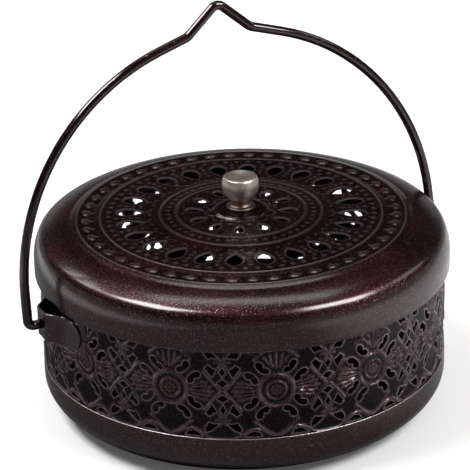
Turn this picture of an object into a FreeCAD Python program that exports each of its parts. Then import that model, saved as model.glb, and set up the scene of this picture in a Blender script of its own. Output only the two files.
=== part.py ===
"""Covered mosquito coil holder of pressed and pierced sheet steel, with a wire handle.

A flat-bottomed pan carries a ring of pierced strip. A vented lid rests on the ring's top edge, and a
wire handle swings in two bent straps on the ring. A spike on the pan's floor carries the coil.

Frame: millimetres, +Z up, origin on the vertical axis in the plane that the pan rests on, +X along the
handle's pivot axis. The handle leans back towards +Y.
"""

import FreeCAD, Part
import math
import os

V = FreeCAD.Vector
UP = V(0, 0, 1)
AXIS_POINT = V(0, 0, 0)

# Base pan
PAN_RADIUS = 75.9
PAN_HEIGHT = 19.5
PAN_CORNER_WIDTH = 21.5
PAN_CORNER_HEIGHT = 13.4
PAN_SHEET = 0.6

# Pierced band, rolled in narrow flats. Its top, and with it the lid, stands over the handle's pivot.
BAND_TOP_OVER_PIVOT = 20.45
BAND_SHEET = 0.5
BAND_FIT = 0.1
BAND_SEAT_GAP = 0.1
BAND_SEAM_ANGLE = 1.7
MEDALLION_COUNT = 12
FLATS_PER_TILE = 4
SEAM_FLATS = 2
MEDALLION_HEIGHT = 38.2
MEDALLION_RING_RADIUS = 6.3
MEDALLION_RING_WIDTH = 1.3
MEDALLION_RING_RISE = 0.5
MEDALLION_RING_SIDES = 12
TILE_HALF_HEIGHT = 19.0
KIDNEY_LENGTH = 6.4
KIDNEY_WIDTH = 3.0
# Tables of places on a tile are shares of its half width and half height from the medallion's centre.
# A kidney's outline is in shares of its half length, along the diagonal, and of its half width.
KIDNEY_CENTRE_SHARES = (0.26, 0.45)
KIDNEY_OUTLINE_SHARES = [(-1.0, 0.1), (-0.45, -0.95), (0.55, -0.9), (1.0, 0.0), (0.6, 0.85), (-0.5, 0.8)]
PETAL_SHARES = [(0.669, 0.468), (0.749, 0.532), (0.887, 0.437), (0.802, 0.274)]
LEAF_SHARES = [(0.913, 0.679), (0.733, 0.658), (0.66, 0.85), (0.82, 0.80)]
BORDER_SHARES = [(0.28, 0.95), (0.37, 0.835), (0.5, 0.835), (0.61, 0.95)]
DIAMOND_SHARES = [(0.885, 0.16), (1.0, 0.075), (1.115, 0.16), (1.0, 0.24)]
KITE_SHARES = [(0.94, 0.40), (1.0, 0.29), (1.06, 0.40), (1.0, 0.49)]

# Lid
LID_PLAY = 1.7
LID_SHEET = 0.6
LID_SEAT_GAP = 0.3
LID_WALL_HEIGHT = 9.2
LID_SHOULDER_HEIGHT = 17.8
LID_PLATE_RADIUS = 64.15
LID_STEP_HEIGHT = 0.9
LID_STEP_WIDTH = 2.25
LID_CHANNEL_WIDTH = 6.9
LID_CHANNEL_DROP = 0.2
LID_DISC_STEP_WIDTH = 1.7
LID_DISC_STEP_HEIGHT = 0.5
LID_DISC_RISE = 1.1
LID_OUTER_FLAT_RADIUS = 34.5
LID_INNER_FLAT_RADIUS = 22.5
LID_BOSS_RADIUS = 9.5
LID_BOSS_HEIGHT = 1.2
LID_WALL_BEND = 15.8
LID_SHOULDER_BEND = 5.2
LID_TOP_BEND = 25.0
# Where the shoulder's tangents meet, as shares of its height, inwards from the wall and up from it.
LID_SHOULDER_CORNER_SHARES = [(0.259, 0.547), (0.952, 0.937)]

# Lid vents
OUTER_VENT_COUNT = 24
OUTER_VENT_TIP_RADIUS = 36.4
OUTER_VENT_LENGTH = 10.1
OUTER_VENT_WIDTH = 5.4
OUTER_VENT_START_ANGLE = 1.7
INNER_VENT_COUNT = 12
INNER_VENT_TIP_RADIUS = 14.1
INNER_VENT_LENGTH = 6.5
INNER_VENT_WIDTH = 2.9
INNER_VENT_START_ANGLE = 2.6
VENT_BULB_CHORDS = 6

# Knob and its fastening
KNOB_FOOT_RADIUS = 5.35
KNOB_FOOT_THICKNESS = 1.2
KNOB_NECK_RADIUS = 3.35
KNOB_BALL_RADIUS = 6.85
KNOB_RIM_RADIUS = 6.0
KNOB_HEIGHT = 12.6
KNOB_DISH_DEPTH = 0.7
SCREW_RADIUS = 2.0
SCREW_CLEARANCE = 0.05
SCREW_REACH = 6.5
SCREW_HEAD_RADIUS = 3.6
SCREW_HEAD_HEIGHT = 2.2
SCREW_HEAD_EDGE = 0.9
LID_HOLE_CLEARANCE = 0.3
WASHER_RADIUS = 5.0
WASHER_THICKNESS = 0.8

# Handle lugs
PIVOT_HEIGHT = 46.0
LUG_HEIGHT = 11.0
LUG_SHEET = 0.8
LUG_WELD_GAP = 0.1
LUG_NOSE_REACH = 5.6
LUG_NOSE_HALF_WIDTH = 4.4
LUG_ROOT_ANGLE = 7.4
LUG_END_ANGLE = 14.4
LUG_BEND = 1.0

# Wire handle
WIRE_RADIUS = 1.75
WIRE_SIDES = 12
PIVOT_CLEARANCE = 0.1
BAIL_END_PLAY = 1.75
BAIL_SIDE_SET = 1.5
BAIL_FOOT_LENGTH = 6.0
BAIL_FOOT_BEND = 2.2
BAIL_LEG_BEND = 12.0
BAIL_ARCH_BEND = 84.5
BAIL_KINK_BEND = 6.0
BAIL_CROWN_BEND = 3.2
BAIL_RISE = 106.9
BAIL_LEAN_ANGLE = 6.2
# Corners of the wire between its feet, left to right, as shares of the half span and of the rise.
BAIL_CORNER_SHARES = [(-0.9993, 0.694), (-0.158, 0.8985), (-0.0107, 1.0), (0.1366, 0.8985), (0.9424, 0.7025),
                      (0.9767, 0.148), (1.0, 0.071)]

# Coil stand
STAND_SHEET = 0.6
STAND_WIDTH = 10.0
STAND_FOOT_LENGTH = 16.0
STAND_SHOULDER_HEIGHT = 14.0
STAND_SPIKE_HEIGHT = 26.0
STAND_SPIKE_WIDTH = 3.0
STAND_BEND = 1.0

# Overrun of every cutting tool past the surface that it cuts
OVERRUN = 2.0
# The part of a straight run that the bends at its ends may take
BEND_ROOM_SHARE = 0.995
# The greatest turn from one chord of a rounded profile to the next
CHORD_TURN_ANGLE = 22.5

# Sizes worked out from those above
BAND_TOP = PIVOT_HEIGHT + BAND_TOP_OVER_PIVOT
BAND_RADIUS = PAN_RADIUS - PAN_SHEET - BAND_FIT
BAND_BORE = BAND_RADIUS - BAND_SHEET
FLAT_COUNT = MEDALLION_COUNT * FLATS_PER_TILE + SEAM_FLATS
FLAT_ANGLE = 360 / FLAT_COUNT
TILE_ANGLE = FLAT_ANGLE * FLATS_PER_TILE
TILE_HALF_WIDTH = math.radians(TILE_ANGLE) * BAND_RADIUS / 2
FIRST_MEDALLION_ANGLE = BAND_SEAM_ANGLE + (SEAM_FLATS * FLAT_ANGLE + TILE_ANGLE) / 2
LID_RADIUS = BAND_RADIUS + LID_PLAY + LID_SHEET
LUG_NOSE_RADIUS = BAND_RADIUS + LUG_NOSE_REACH
BAIL_HALF_SPAN = LUG_NOSE_RADIUS + WIRE_RADIUS + BAIL_END_PLAY


def bend_reaches(points, bends):
    """How far each bend reaches from its corner along both straight runs, the path's ends included.

    A bend is limited by the straight runs beside it where it would not fit between its neighbours.
    """
    halves = [(before - corner).getAngle(after - corner) / 2
              for before, corner, after in zip(points, points[1:], points[2:])]
    reaches = [0] + [bend / math.tan(half) for bend, half in zip(bends, halves)] + [0]
    for index, (first, second) in enumerate(zip(points, points[1:])):
        needed = reaches[index] + reaches[index + 1]
        room = first.distanceToPoint(second) * BEND_ROOM_SHARE
        if needed > room:
            reaches[index] *= room / needed
            reaches[index + 1] *= room / needed
    return reaches


def rounded_path(points, bends):
    """Edges of straight runs through the points, joined at each inner point by a tangent arc.

    Args:
        points: the corners of the path, ends included.
        bends: the arc's radius at each inner point, or zero for a sharp corner.

    Returns:
        The list of edges in order.
    """
    edges = []
    start = points[0]
    for corner, following, reach in zip(points[1:], points[2:], bend_reaches(points, bends)[1:]):
        back = (start - corner).normalize()
        ahead = (following - corner).normalize()
        arc_start = corner + back * reach
        edges.append(Part.LineSegment(start, arc_start).toShape())
        start = corner + ahead * reach
        if reach > 0:
            half = back.getAngle(ahead) / 2
            depth = reach / math.cos(half) - reach * math.tan(half)
            middle = corner + (back + ahead).normalize() * depth
            edges.append(Part.Arc(arc_start, middle, start).toShape())
    edges.append(Part.LineSegment(start, points[-1]).toShape())
    return edges


def in_chords(edges):
    """The corners of a line through the edges, with each round stretch in short chords."""
    points = [edges[0].Vertexes[0].Point]
    for edge in edges:
        turn = edge.tangentAt(edge.FirstParameter).getAngle(edge.tangentAt(edge.LastParameter))
        chords = max(1, math.ceil(math.degrees(turn) / CHORD_TURN_ANGLE))
        points += edge.discretize(chords + 1)[1:]
    return points


def polygon_face(points):
    """A flat face inside straight runs through the points."""
    return Part.Face(Part.makePolygon(points + points[:1]))


def turned(points):
    """A solid of revolution about the vertical axis, from the corners of its section."""
    return polygon_face(points).revolve(AXIS_POINT, UP, 360)


def polar(radius, angle, height):
    """The point at a radius, an angle in degrees from +X and a height."""
    return V(radius * math.cos(math.radians(angle)), radius * math.sin(math.radians(angle)), height)


def at_angle(shape, angle):
    """A copy of the shape turned about the vertical axis by the angle in degrees."""
    copy = shape.copy()
    copy.rotate(AXIS_POINT, UP, angle)
    return copy


def cylinder(radius, bottom, top):
    """A cylinder on the vertical axis between two heights."""
    return Part.makeCylinder(radius, top - bottom, V(0, 0, bottom), UP)


def pan_corner(radius, corner_width, corner_height, floor):
    """The rounded corner of a pan's section, from the wall's foot down to the flat bottom."""
    flat = radius - corner_width
    corner = Part.Ellipse(V(radius, 0, floor + corner_height), V(flat, 0, floor), V(flat, 0, floor + corner_height))
    return in_chords([Part.ArcOfEllipse(corner, 0, math.pi / 2).toShape()])


def pan_inner_corner():
    """The rounded corner of the pan's inner face."""
    return pan_corner(PAN_RADIUS - PAN_SHEET, PAN_CORNER_WIDTH - PAN_SHEET, PAN_CORNER_HEIGHT - PAN_SHEET, PAN_SHEET)


def make_base_pan():
    """The pressed pan: an upright rim, a broad rounded corner and a flat bottom."""
    outer_corner = pan_corner(PAN_RADIUS, PAN_CORNER_WIDTH, PAN_CORNER_HEIGHT, 0)
    inside = [V(0, 0, PAN_SHEET)] + pan_inner_corner()[::-1] + [V(PAN_RADIUS - PAN_SHEET, 0, PAN_HEIGHT)]
    outside = [V(PAN_RADIUS, 0, PAN_HEIGHT)] + outer_corner + [V(0, 0, 0)]
    return turned(inside + outside)


def band_foot_height():
    """The height at which the band's lower edge stands in the pan's rounded corner."""
    for upper, lower in zip(pan_inner_corner(), pan_inner_corner()[1:]):
        if lower.x <= BAND_RADIUS <= upper.x:
            share = (BAND_RADIUS - lower.x) / (upper.x - lower.x)
            return lower.z + (upper.z - lower.z) * share + BAND_SEAT_GAP
    return PAN_HEIGHT


def on_tile(x_share, z_share):
    """A place on the flat tile, from the medallion's centre, by shares of the tile's half sizes."""
    return x_share * TILE_HALF_WIDTH, z_share * TILE_HALF_HEIGHT


def kidney_outline():
    """The outline of the opening beside the upper lobe, its long axis along the tile's diagonal."""
    centre_x, centre_z = on_tile(*KIDNEY_CENTRE_SHARES)
    outline = []
    for along_share, side_share in KIDNEY_OUTLINE_SHARES:
        along = along_share * KIDNEY_LENGTH / 2
        side = side_share * KIDNEY_WIDTH / 2
        outline.append((centre_x + (along - side) / math.sqrt(2), centre_z + (along + side) / math.sqrt(2)))
    return outline


def quarter_outlines():
    """The outlines of the openings in one quarter of a tile, in the tile's flat plane."""
    kidney = kidney_outline()
    outlines = [kidney, [(z, x) for x, z in kidney]]
    for shares in (PETAL_SHARES, LEAF_SHARES, BORDER_SHARES):
        outlines.append([on_tile(*share) for share in shares])
    return outlines


def radial_cutter(outline, tile_angle, across, upward):
    """A straight prism through the band for one opening.

    Args:
        outline: the opening's corners in the tile's flat plane, from the medallion's centre.
        tile_angle: the angle of the tile's medallion about the vertical axis.
        across: 1 or -1, to mirror the opening about the tile's upright middle line.
        upward: 1 or -1, to mirror it about the tile's level middle line.

    Returns:
        The prism.
    """
    middle = across * sum(x for x, _ in outline) / len(outline)
    points = [V(BAND_BORE - OVERRUN, x * across - middle, MEDALLION_HEIGHT + z * upward) for x, z in outline]
    prism = polygon_face(points).extrude(V(BAND_SHEET + OVERRUN + OVERRUN, 0, 0))
    return at_angle(prism, tile_angle + math.degrees(middle / BAND_RADIUS))


def band_openings():
    """The cutters of every opening in the band."""
    cutters = []
    between = [[on_tile(*share) for share in shares] for shares in (DIAMOND_SHARES, KITE_SHARES)]
    for index in range(MEDALLION_COUNT):
        angle = FIRST_MEDALLION_ANGLE + TILE_ANGLE * index
        for upward in (1, -1):
            for across in (1, -1):
                cutters += [radial_cutter(outline, angle, across, upward) for outline in quarter_outlines()]
            if index < MEDALLION_COUNT - 1:
                cutters += [radial_cutter(outline, angle, 1, upward) for outline in between]
    return cutters


def medallion_ring():
    """The raised ring of one medallion, at angle zero, sunk into the band's sheet."""
    back = BAND_BORE * math.cos(math.radians(FLAT_ANGLE / 2)) + BAND_SHEET / 2
    outlines = []
    for radius in (MEDALLION_RING_RADIUS, MEDALLION_RING_RADIUS - MEDALLION_RING_WIDTH):
        turns = [math.tau * (side + 1 / 2) / MEDALLION_RING_SIDES for side in range(MEDALLION_RING_SIDES)]
        outlines.append([V(back, radius * math.sin(turn), MEDALLION_HEIGHT + radius * math.cos(turn))
                         for turn in turns])
    outside, inside = [polygon_face(outline).extrude(V(BAND_RADIUS + MEDALLION_RING_RISE - back, 0, 0))
                       for outline in outlines]
    return outside.cut(inside)


def flat_sided_ring(bottom, top):
    """The band before it is pierced: a ring of narrow flats, its seam's middle in the middle of one."""
    corner_angles = [BAND_SEAM_ANGLE + FLAT_ANGLE * (index + 1 / 2) for index in range(FLAT_COUNT)]
    outside, inside = [polygon_face([polar(radius, angle, bottom) for angle in corner_angles])
                       for radius in (BAND_RADIUS, BAND_BORE)]
    return outside.cut(inside).extrude(V(0, 0, top - bottom))


def seam_lap(bottom, top):
    """The end of the strip that laps inside the other one, as wide as one flat."""
    start = BAND_SEAM_ANGLE - FLAT_ANGLE / 2
    end = BAND_SEAM_ANGLE + FLAT_ANGLE / 2
    inner = BAND_BORE - BAND_SHEET
    corners = [polar(inner, start, bottom), polar(BAND_BORE, start, bottom), polar(BAND_BORE, end, bottom),
               polar(inner, end, bottom)]
    return polygon_face(corners).extrude(V(0, 0, top - bottom))


def lug_seats():
    """The places under the two lugs, where the raised rings are pressed flat."""
    height = LUG_HEIGHT + LUG_WELD_GAP * 2
    bottom = V(0, 0, PIVOT_HEIGHT - height / 2)
    reach = LUG_END_ANGLE + math.degrees(LUG_SHEET / BAND_RADIUS)
    block = Part.makeCylinder(BAND_RADIUS + OVERRUN, height, bottom, UP, reach * 2)
    block = block.cut(Part.makeCylinder(BAND_RADIUS, height, bottom, UP))
    return Part.makeCompound([at_angle(block, side_angle - reach) for side_angle in (0, 180)])


def make_pierced_band():
    """The pierced strip rolled into a ring, with its lapped seam and its raised medallions."""
    foot = band_foot_height()
    ring = flat_sided_ring(foot, BAND_TOP).fuse(seam_lap(foot, BAND_TOP)).removeSplitter()
    pierced = ring.cut(Part.makeCompound(band_openings()))
    raised = [at_angle(medallion_ring(), FIRST_MEDALLION_ANGLE + TILE_ANGLE * index)
              for index in range(MEDALLION_COUNT)]
    return pierced.fuse(Part.makeCompound(raised).cut(lug_seats()))


def lid_section():
    """The corners of the lid's outer section from its lower edge to the axis, over the plane of that edge."""
    shoulder = LID_SHOULDER_HEIGHT - LID_WALL_HEIGHT
    slope_corner, top_corner = [V(LID_RADIUS - shoulder * inward, 0, LID_WALL_HEIGHT + shoulder * upward)
                                for inward, upward in LID_SHOULDER_CORNER_SHARES]
    channel_start = LID_PLATE_RADIUS - LID_STEP_WIDTH
    channel_end = channel_start - LID_CHANNEL_WIDTH
    step_top = LID_SHOULDER_HEIGHT + LID_STEP_HEIGHT
    channel_floor = step_top - LID_CHANNEL_DROP
    outer_flat = channel_floor + LID_DISC_STEP_HEIGHT
    inner_flat = outer_flat + LID_DISC_RISE
    seat = inner_flat + LID_BOSS_HEIGHT
    shoulder_corners = [
        V(LID_RADIUS, 0, 0),
        V(LID_RADIUS, 0, LID_WALL_HEIGHT),
        slope_corner,
        top_corner,
        V(LID_PLATE_RADIUS, 0, LID_SHOULDER_HEIGHT),
    ]
    shoulder_edges = rounded_path(shoulder_corners, [LID_WALL_BEND, LID_SHOULDER_BEND, LID_TOP_BEND])
    return in_chords(shoulder_edges) + [
        V(channel_start, 0, step_top),
        V(channel_end, 0, channel_floor),
        V(channel_end - LID_DISC_STEP_WIDTH, 0, outer_flat),
        V(LID_OUTER_FLAT_RADIUS, 0, outer_flat),
        V(LID_INNER_FLAT_RADIUS, 0, inner_flat),
        V(LID_BOSS_RADIUS + LID_BOSS_HEIGHT, 0, inner_flat),
        V(LID_BOSS_RADIUS, 0, seat),
        V(0, 0, seat),
    ]


def vent_cutter(tip_radius, length, width, height):
    """A drop-shaped prism along +X, pointed towards the axis, from below the lid to above it."""
    bulb = width / 2
    centre = V(tip_radius + length - bulb, 0, 0)
    touch_angle = math.degrees(math.acos(bulb / (length - bulb)))
    sweep = 180 - touch_angle
    bend_angles = [sweep * (2 * step / VENT_BULB_CHORDS - 1) for step in range(VENT_BULB_CHORDS + 1)]
    outline = [centre + polar(bulb, angle, 0) for angle in bend_angles]
    return polygon_face([V(tip_radius, 0, 0)] + outline).extrude(V(0, 0, height))


def ring_of(shape, count, start_angle):
    """Copies of the shape, evenly turned about the vertical axis."""
    return [at_angle(shape, start_angle + 360 * index / count) for index in range(count)]


def make_lid():
    """The lid shell at its seat on the band, and the height of the knob's seat."""
    section = lid_section()
    knob_seat = section[-1].z
    sheet = Part.makePolygon(section).makeOffset2D(LID_SHEET, join=2, fill=True, openResult=True)
    band_edge = Part.makeLine(V(BAND_RADIUS, 0, 0), V(BAND_RADIUS, 0, knob_seat))
    edge_height = BAND_TOP + LID_SEAT_GAP - sheet.common(band_edge).BoundBox.ZMin
    outer = vent_cutter(OUTER_VENT_TIP_RADIUS, OUTER_VENT_LENGTH, OUTER_VENT_WIDTH, knob_seat + OVERRUN)
    inner = vent_cutter(INNER_VENT_TIP_RADIUS, INNER_VENT_LENGTH, INNER_VENT_WIDTH, knob_seat + OVERRUN)
    cutters = ring_of(outer, OUTER_VENT_COUNT, OUTER_VENT_START_ANGLE)
    cutters += ring_of(inner, INNER_VENT_COUNT, INNER_VENT_START_ANGLE)
    cutters.append(cylinder(SCREW_RADIUS + LID_HOLE_CLEARANCE, 0, knob_seat + OVERRUN))
    shell = sheet.revolve(AXIS_POINT, UP, -360).cut(Part.makeCompound(cutters))
    shell.translate(V(0, 0, edge_height))
    return shell, edge_height + knob_seat


def arc_to_axis(edge, axis_height):
    """An arc from a point in the XZ plane to the vertical axis, which it meets squarely."""
    depth = edge.z - axis_height
    radius = (edge.x ** 2 + depth ** 2) / (2 * depth)
    turn = math.atan2(edge.x, abs(radius - depth)) / 2
    middle = V(abs(radius) * math.sin(turn), 0, axis_height + radius * (1 - math.cos(turn)))
    return Part.Arc(edge, middle, V(0, 0, axis_height)).toShape()


def make_knob(seat):
    """The cast knob on its seat: a flared foot, a neck and a ball with a dished top."""
    top = seat + KNOB_HEIGHT
    centre = top - math.sqrt(KNOB_BALL_RADIUS ** 2 - KNOB_RIM_RADIUS ** 2)
    foot_edge = V(KNOB_FOOT_RADIUS, 0, seat + KNOB_FOOT_THICKNESS)
    neck = V(KNOB_NECK_RADIUS, 0, centre - math.sqrt(KNOB_BALL_RADIUS ** 2 - KNOB_NECK_RADIUS ** 2))
    rim = V(KNOB_RIM_RADIUS, 0, top)
    cove_share = 1 - math.sqrt(1 / 2)
    cove = V(neck.x + (foot_edge.x - neck.x) * cove_share, 0, foot_edge.z + (neck.z - foot_edge.z) * cove_share)
    profile = in_chords([
        Part.Arc(foot_edge, cove, neck).toShape(),
        Part.Arc(neck, V(KNOB_BALL_RADIUS, 0, centre), rim).toShape(),
        arc_to_axis(rim, top - KNOB_DISH_DEPTH),
    ])
    body = turned([V(0, 0, seat), V(KNOB_FOOT_RADIUS, 0, seat)] + profile)
    bore_depth = SCREW_REACH + SCREW_CLEARANCE
    return body.cut(cylinder(SCREW_RADIUS + SCREW_CLEARANCE, seat, seat + bore_depth))


def make_knob_washer(seat):
    """The washer under the lid's centre."""
    top = seat - LID_SHEET
    ring = cylinder(WASHER_RADIUS, top - WASHER_THICKNESS, top)
    return ring.cut(cylinder(SCREW_RADIUS + SCREW_CLEARANCE, top - WASHER_THICKNESS, top))


def make_knob_screw(seat):
    """The screw that holds the knob from below, with a rounded head under the washer."""
    head_top = seat - LID_SHEET - WASHER_THICKNESS
    edge = V(SCREW_HEAD_RADIUS, 0, head_top - SCREW_HEAD_EDGE)
    dome = in_chords([arc_to_axis(edge, head_top - SCREW_HEAD_HEIGHT)])
    tip = seat + SCREW_REACH
    shank = [V(0, 0, tip), V(SCREW_RADIUS, 0, tip), V(SCREW_RADIUS, 0, head_top)]
    return turned(shank + [V(SCREW_HEAD_RADIUS, 0, head_top)] + dome)


def lug_skin(offset):
    """The plan of one skin of the right lug, from its lower end round the nose to its upper end.

    Args:
        offset: the skin's distance outside the strap's inner skin.

    Returns:
        The list of edges in the plane z = 0.
    """
    radius = BAND_RADIUS + LUG_WELD_GAP + offset
    nose = LUG_NOSE_RADIUS - LUG_SHEET + offset
    root_angle = math.radians(LUG_ROOT_ANGLE)
    end_angle = math.radians(LUG_END_ANGLE)
    inner_radius = BAND_RADIUS + LUG_WELD_GAP
    root = V(inner_radius * math.cos(root_angle), inner_radius * math.sin(root_angle), 0)
    corner = V(LUG_NOSE_RADIUS - LUG_SHEET, LUG_NOSE_HALF_WIDTH - LUG_SHEET, 0)
    flank = (corner - root).normalize()
    shift = V(-flank.y, flank.x, 0) * offset
    corner = corner + shift + flank * ((nose - corner.x - shift.x) / flank.x)
    start = root + shift
    along = start.x * flank.x + start.y * flank.y
    reach = math.sqrt(along ** 2 - (start.x ** 2 + start.y ** 2 - radius ** 2)) - along
    root = start + flank * reach
    end = V(radius * math.cos(end_angle), radius * math.sin(end_angle), 0)
    half_way = (math.atan2(root.y, root.x) + end_angle) / 2
    middle = V(radius * math.cos(half_way), radius * math.sin(half_way), 0)
    flip = [V(point.x, -point.y, 0) for point in (end, middle, root, corner)]
    path = rounded_path([flip[2], flip[3], corner, root], [LUG_BEND + offset, LUG_BEND + offset])
    return [Part.Arc(flip[0], flip[1], flip[2]).toShape()] + path + [Part.Arc(root, middle, end).toShape()]


def make_lug(side_angle):
    """One bent strap with round ends and the handle's hole in its nose.

    Args:
        side_angle: 0 for the right lug, 180 for the left one.

    Returns:
        The solid.
    """
    inner = lug_skin(0)
    outer = lug_skin(LUG_SHEET)
    first = Part.LineSegment(inner[0].Vertexes[0].Point, outer[0].Vertexes[0].Point).toShape()
    last = Part.LineSegment(inner[-1].Vertexes[-1].Point, outer[-1].Vertexes[-1].Point).toShape()
    face = Part.Face(Part.Wire(inner + [last] + outer[::-1] + [first]))
    strap = face.extrude(V(0, 0, LUG_HEIGHT))
    strap.translate(V(0, 0, PIVOT_HEIGHT - LUG_HEIGHT / 2))
    half_length = LUG_SHEET + BAND_RADIUS * math.sin(math.radians(LUG_END_ANGLE))
    end_radius = LUG_HEIGHT / 2
    straight = half_length - end_radius
    outline = [
        Part.LineSegment(V(0, -straight, end_radius), V(0, straight, end_radius)).toShape(),
        Part.Arc(V(0, straight, end_radius), V(0, half_length, 0), V(0, straight, -end_radius)).toShape(),
        Part.LineSegment(V(0, straight, -end_radius), V(0, -straight, -end_radius)).toShape(),
        Part.Arc(V(0, -straight, -end_radius), V(0, -half_length, 0), V(0, -straight, end_radius)).toShape(),
    ]
    rounded = Part.Face(Part.Wire(outline)).extrude(V(LUG_NOSE_RADIUS + OVERRUN, 0, 0))
    rounded.translate(V(0, 0, PIVOT_HEIGHT))
    hole = Part.makeCylinder(WIRE_RADIUS + PIVOT_CLEARANCE, LUG_NOSE_RADIUS + OVERRUN, V(0, 0, PIVOT_HEIGHT),
                             V(1, 0, 0))
    return at_angle(strap.common(rounded).cut(hole), side_angle)


def make_bail():
    """The wire handle: two feet, two legs, an arch and a pointed crown, leaning back."""
    toe = BAIL_HALF_SPAN - BAIL_FOOT_LENGTH
    corners = [V(-toe, 0, 0), V(-BAIL_HALF_SPAN, 0, 0)]
    corners += [V(x * BAIL_HALF_SPAN, 0, z * BAIL_RISE) for x, z in BAIL_CORNER_SHARES]
    corners += [V(BAIL_HALF_SPAN, 0, 0), V(toe, 0, 0)]
    bends = [BAIL_FOOT_BEND, BAIL_ARCH_BEND, BAIL_KINK_BEND, BAIL_CROWN_BEND, BAIL_KINK_BEND, BAIL_ARCH_BEND,
             BAIL_LEG_BEND, BAIL_LEG_BEND, BAIL_FOOT_BEND]
    path = Part.Wire(rounded_path(corners, bends))
    turns = [math.tau * side / WIRE_SIDES for side in range(WIRE_SIDES)]
    section = polygon_face([V(-toe, WIRE_RADIUS * math.cos(turn), WIRE_RADIUS * math.sin(turn)) for turn in turns])
    wire = path.makePipeShell([section.Wires[0]], True, False)
    print("handle's volume over its section times its length", round(wire.Volume / (section.Area * path.Length), 4))
    wire.translate(V(-BAIL_SIDE_SET, 0, PIVOT_HEIGHT))
    wire.rotate(V(0, 0, PIVOT_HEIGHT), V(1, 0, 0), -BAIL_LEAN_ANGLE)
    return wire


def make_coil_stand():
    """The bent strip on the pan's floor: a foot, and an upright with two shoulders and a spike."""
    floor = PAN_SHEET
    inner = floor + STAND_SHEET
    back = -STAND_SHEET / 2
    front = STAND_SHEET / 2
    spike_top = floor + STAND_SPIKE_HEIGHT
    outside = rounded_path([V(STAND_FOOT_LENGTH, 0, floor), V(back, 0, floor), V(back, 0, spike_top)],
                           [STAND_BEND + STAND_SHEET])
    inside = rounded_path([V(front, 0, spike_top), V(front, 0, inner), V(STAND_FOOT_LENGTH, 0, inner)],
                          [STAND_BEND])
    top = Part.LineSegment(V(back, 0, spike_top), V(front, 0, spike_top)).toShape()
    toe = Part.LineSegment(V(STAND_FOOT_LENGTH, 0, inner), V(STAND_FOOT_LENGTH, 0, floor)).toShape()
    strip = Part.Face(Part.Wire(outside + [top] + inside + [toe])).extrude(V(0, STAND_WIDTH, 0))
    strip.translate(V(0, -STAND_WIDTH / 2, 0))
    half = STAND_WIDTH / 2
    spike = STAND_SPIKE_WIDTH / 2
    shoulder = floor + STAND_SHOULDER_HEIGHT
    outline = polygon_face([V(back, -half, floor), V(back, half, floor), V(back, half, shoulder),
                            V(back, spike, shoulder), V(back, 0, spike_top), V(back, -spike, shoulder),
                            V(back, -half, shoulder)])
    return strip.common(outline.extrude(V(STAND_FOOT_LENGTH - back, 0, 0)))


def main():
    """Build every piece and write each to its own file."""
    os.makedirs("parts", exist_ok=True)
    lid_shell, knob_seat = make_lid()
    pieces = {
        "base_pan": make_base_pan(),
        "pierced_band": make_pierced_band(),
        "lug_right": make_lug(0),
        "lug_left": make_lug(180),
        "coil_stand": make_coil_stand(),
        "bail": make_bail(),
        "lid_shell": lid_shell,
        "knob": make_knob(knob_seat),
        "knob_washer": make_knob_washer(knob_seat),
        "knob_screw": make_knob_screw(knob_seat),
    }
    for name, shape in pieces.items():
        shape.exportStep(f"parts/{name}.step")
        box = shape.BoundBox
        print(f"{name:14s} solids {len(shape.Solids)} faces {len(shape.Faces)} valid {shape.isValid()} "
              f"volume {shape.Volume:.1f} z {box.ZMin:.2f} to {box.ZMax:.2f} x {box.XMin:.2f} to {box.XMax:.2f}")


main()
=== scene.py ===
"""Looks of the covered mosquito coil holder, built round its packed construction model.

Lengths in this file are millimetres, and every mesh is scaled to metres as it is made. The frame is the
construction model's: +Z up, +X along the handle's pivot, the handle leaning back towards +Y.
"""

import logging
import math
from collections.abc import Callable, Iterable
from dataclasses import dataclass, field
from enum import Enum

import bpy
import numpy as np
from mathutils import Matrix, Vector
from mathutils.geometry import delaunay_2d_cdt


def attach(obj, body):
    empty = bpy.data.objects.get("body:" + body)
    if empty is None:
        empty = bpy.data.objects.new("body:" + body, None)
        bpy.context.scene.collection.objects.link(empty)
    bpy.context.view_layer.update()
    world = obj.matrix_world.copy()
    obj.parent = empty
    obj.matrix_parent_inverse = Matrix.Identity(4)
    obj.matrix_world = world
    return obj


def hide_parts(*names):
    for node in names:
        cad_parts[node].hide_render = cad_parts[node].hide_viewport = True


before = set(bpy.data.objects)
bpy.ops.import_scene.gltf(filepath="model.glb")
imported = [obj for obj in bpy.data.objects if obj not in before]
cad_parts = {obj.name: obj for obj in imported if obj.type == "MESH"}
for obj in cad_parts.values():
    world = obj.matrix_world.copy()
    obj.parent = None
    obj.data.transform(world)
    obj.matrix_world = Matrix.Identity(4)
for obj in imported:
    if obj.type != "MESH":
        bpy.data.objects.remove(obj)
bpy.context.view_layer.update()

MM = 0.001
WELD_GRID = 0.0002
PLAN_GRAIN = 1e-7
LEAST_AREA = 1e-9
LEAST_SQUARE = 1e-12
ROOM_SHARE = 0.995
STAGGER = (0.75, 0.25)
EDGE_REACH = 0.3
END_STEPS = ((0.0, 0.55), (0.3, 0.87), (1.0, 1.0))
WHITE = (1.0, 1.0, 1.0, 1.0)
log = logging.getLogger("coil_holder")

Colour = tuple[float, float, float]
Flat = tuple[float, float]
Face = tuple[int, ...]
Form = tuple[float, float, float]


class Body(Enum):
    """The moving bodies of the holder."""

    BASE = "base"
    LID = "lid"
    BAIL = "bail"


class Slot(Enum):
    """The record's finishes."""

    PAINT = "dark_paint"
    BRONZE = "antique_bronze"


def table(points: Iterable[Flat]) -> np.ndarray:
    """The points as an array of rows."""
    return np.array(list(points), dtype=float)


def polar(radius: float | np.ndarray, turns: float | np.ndarray) -> np.ndarray:
    """The places in plan at a radius and at turns in radians."""
    return np.column_stack([radius * np.cos(turns), radius * np.sin(turns)])


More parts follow.
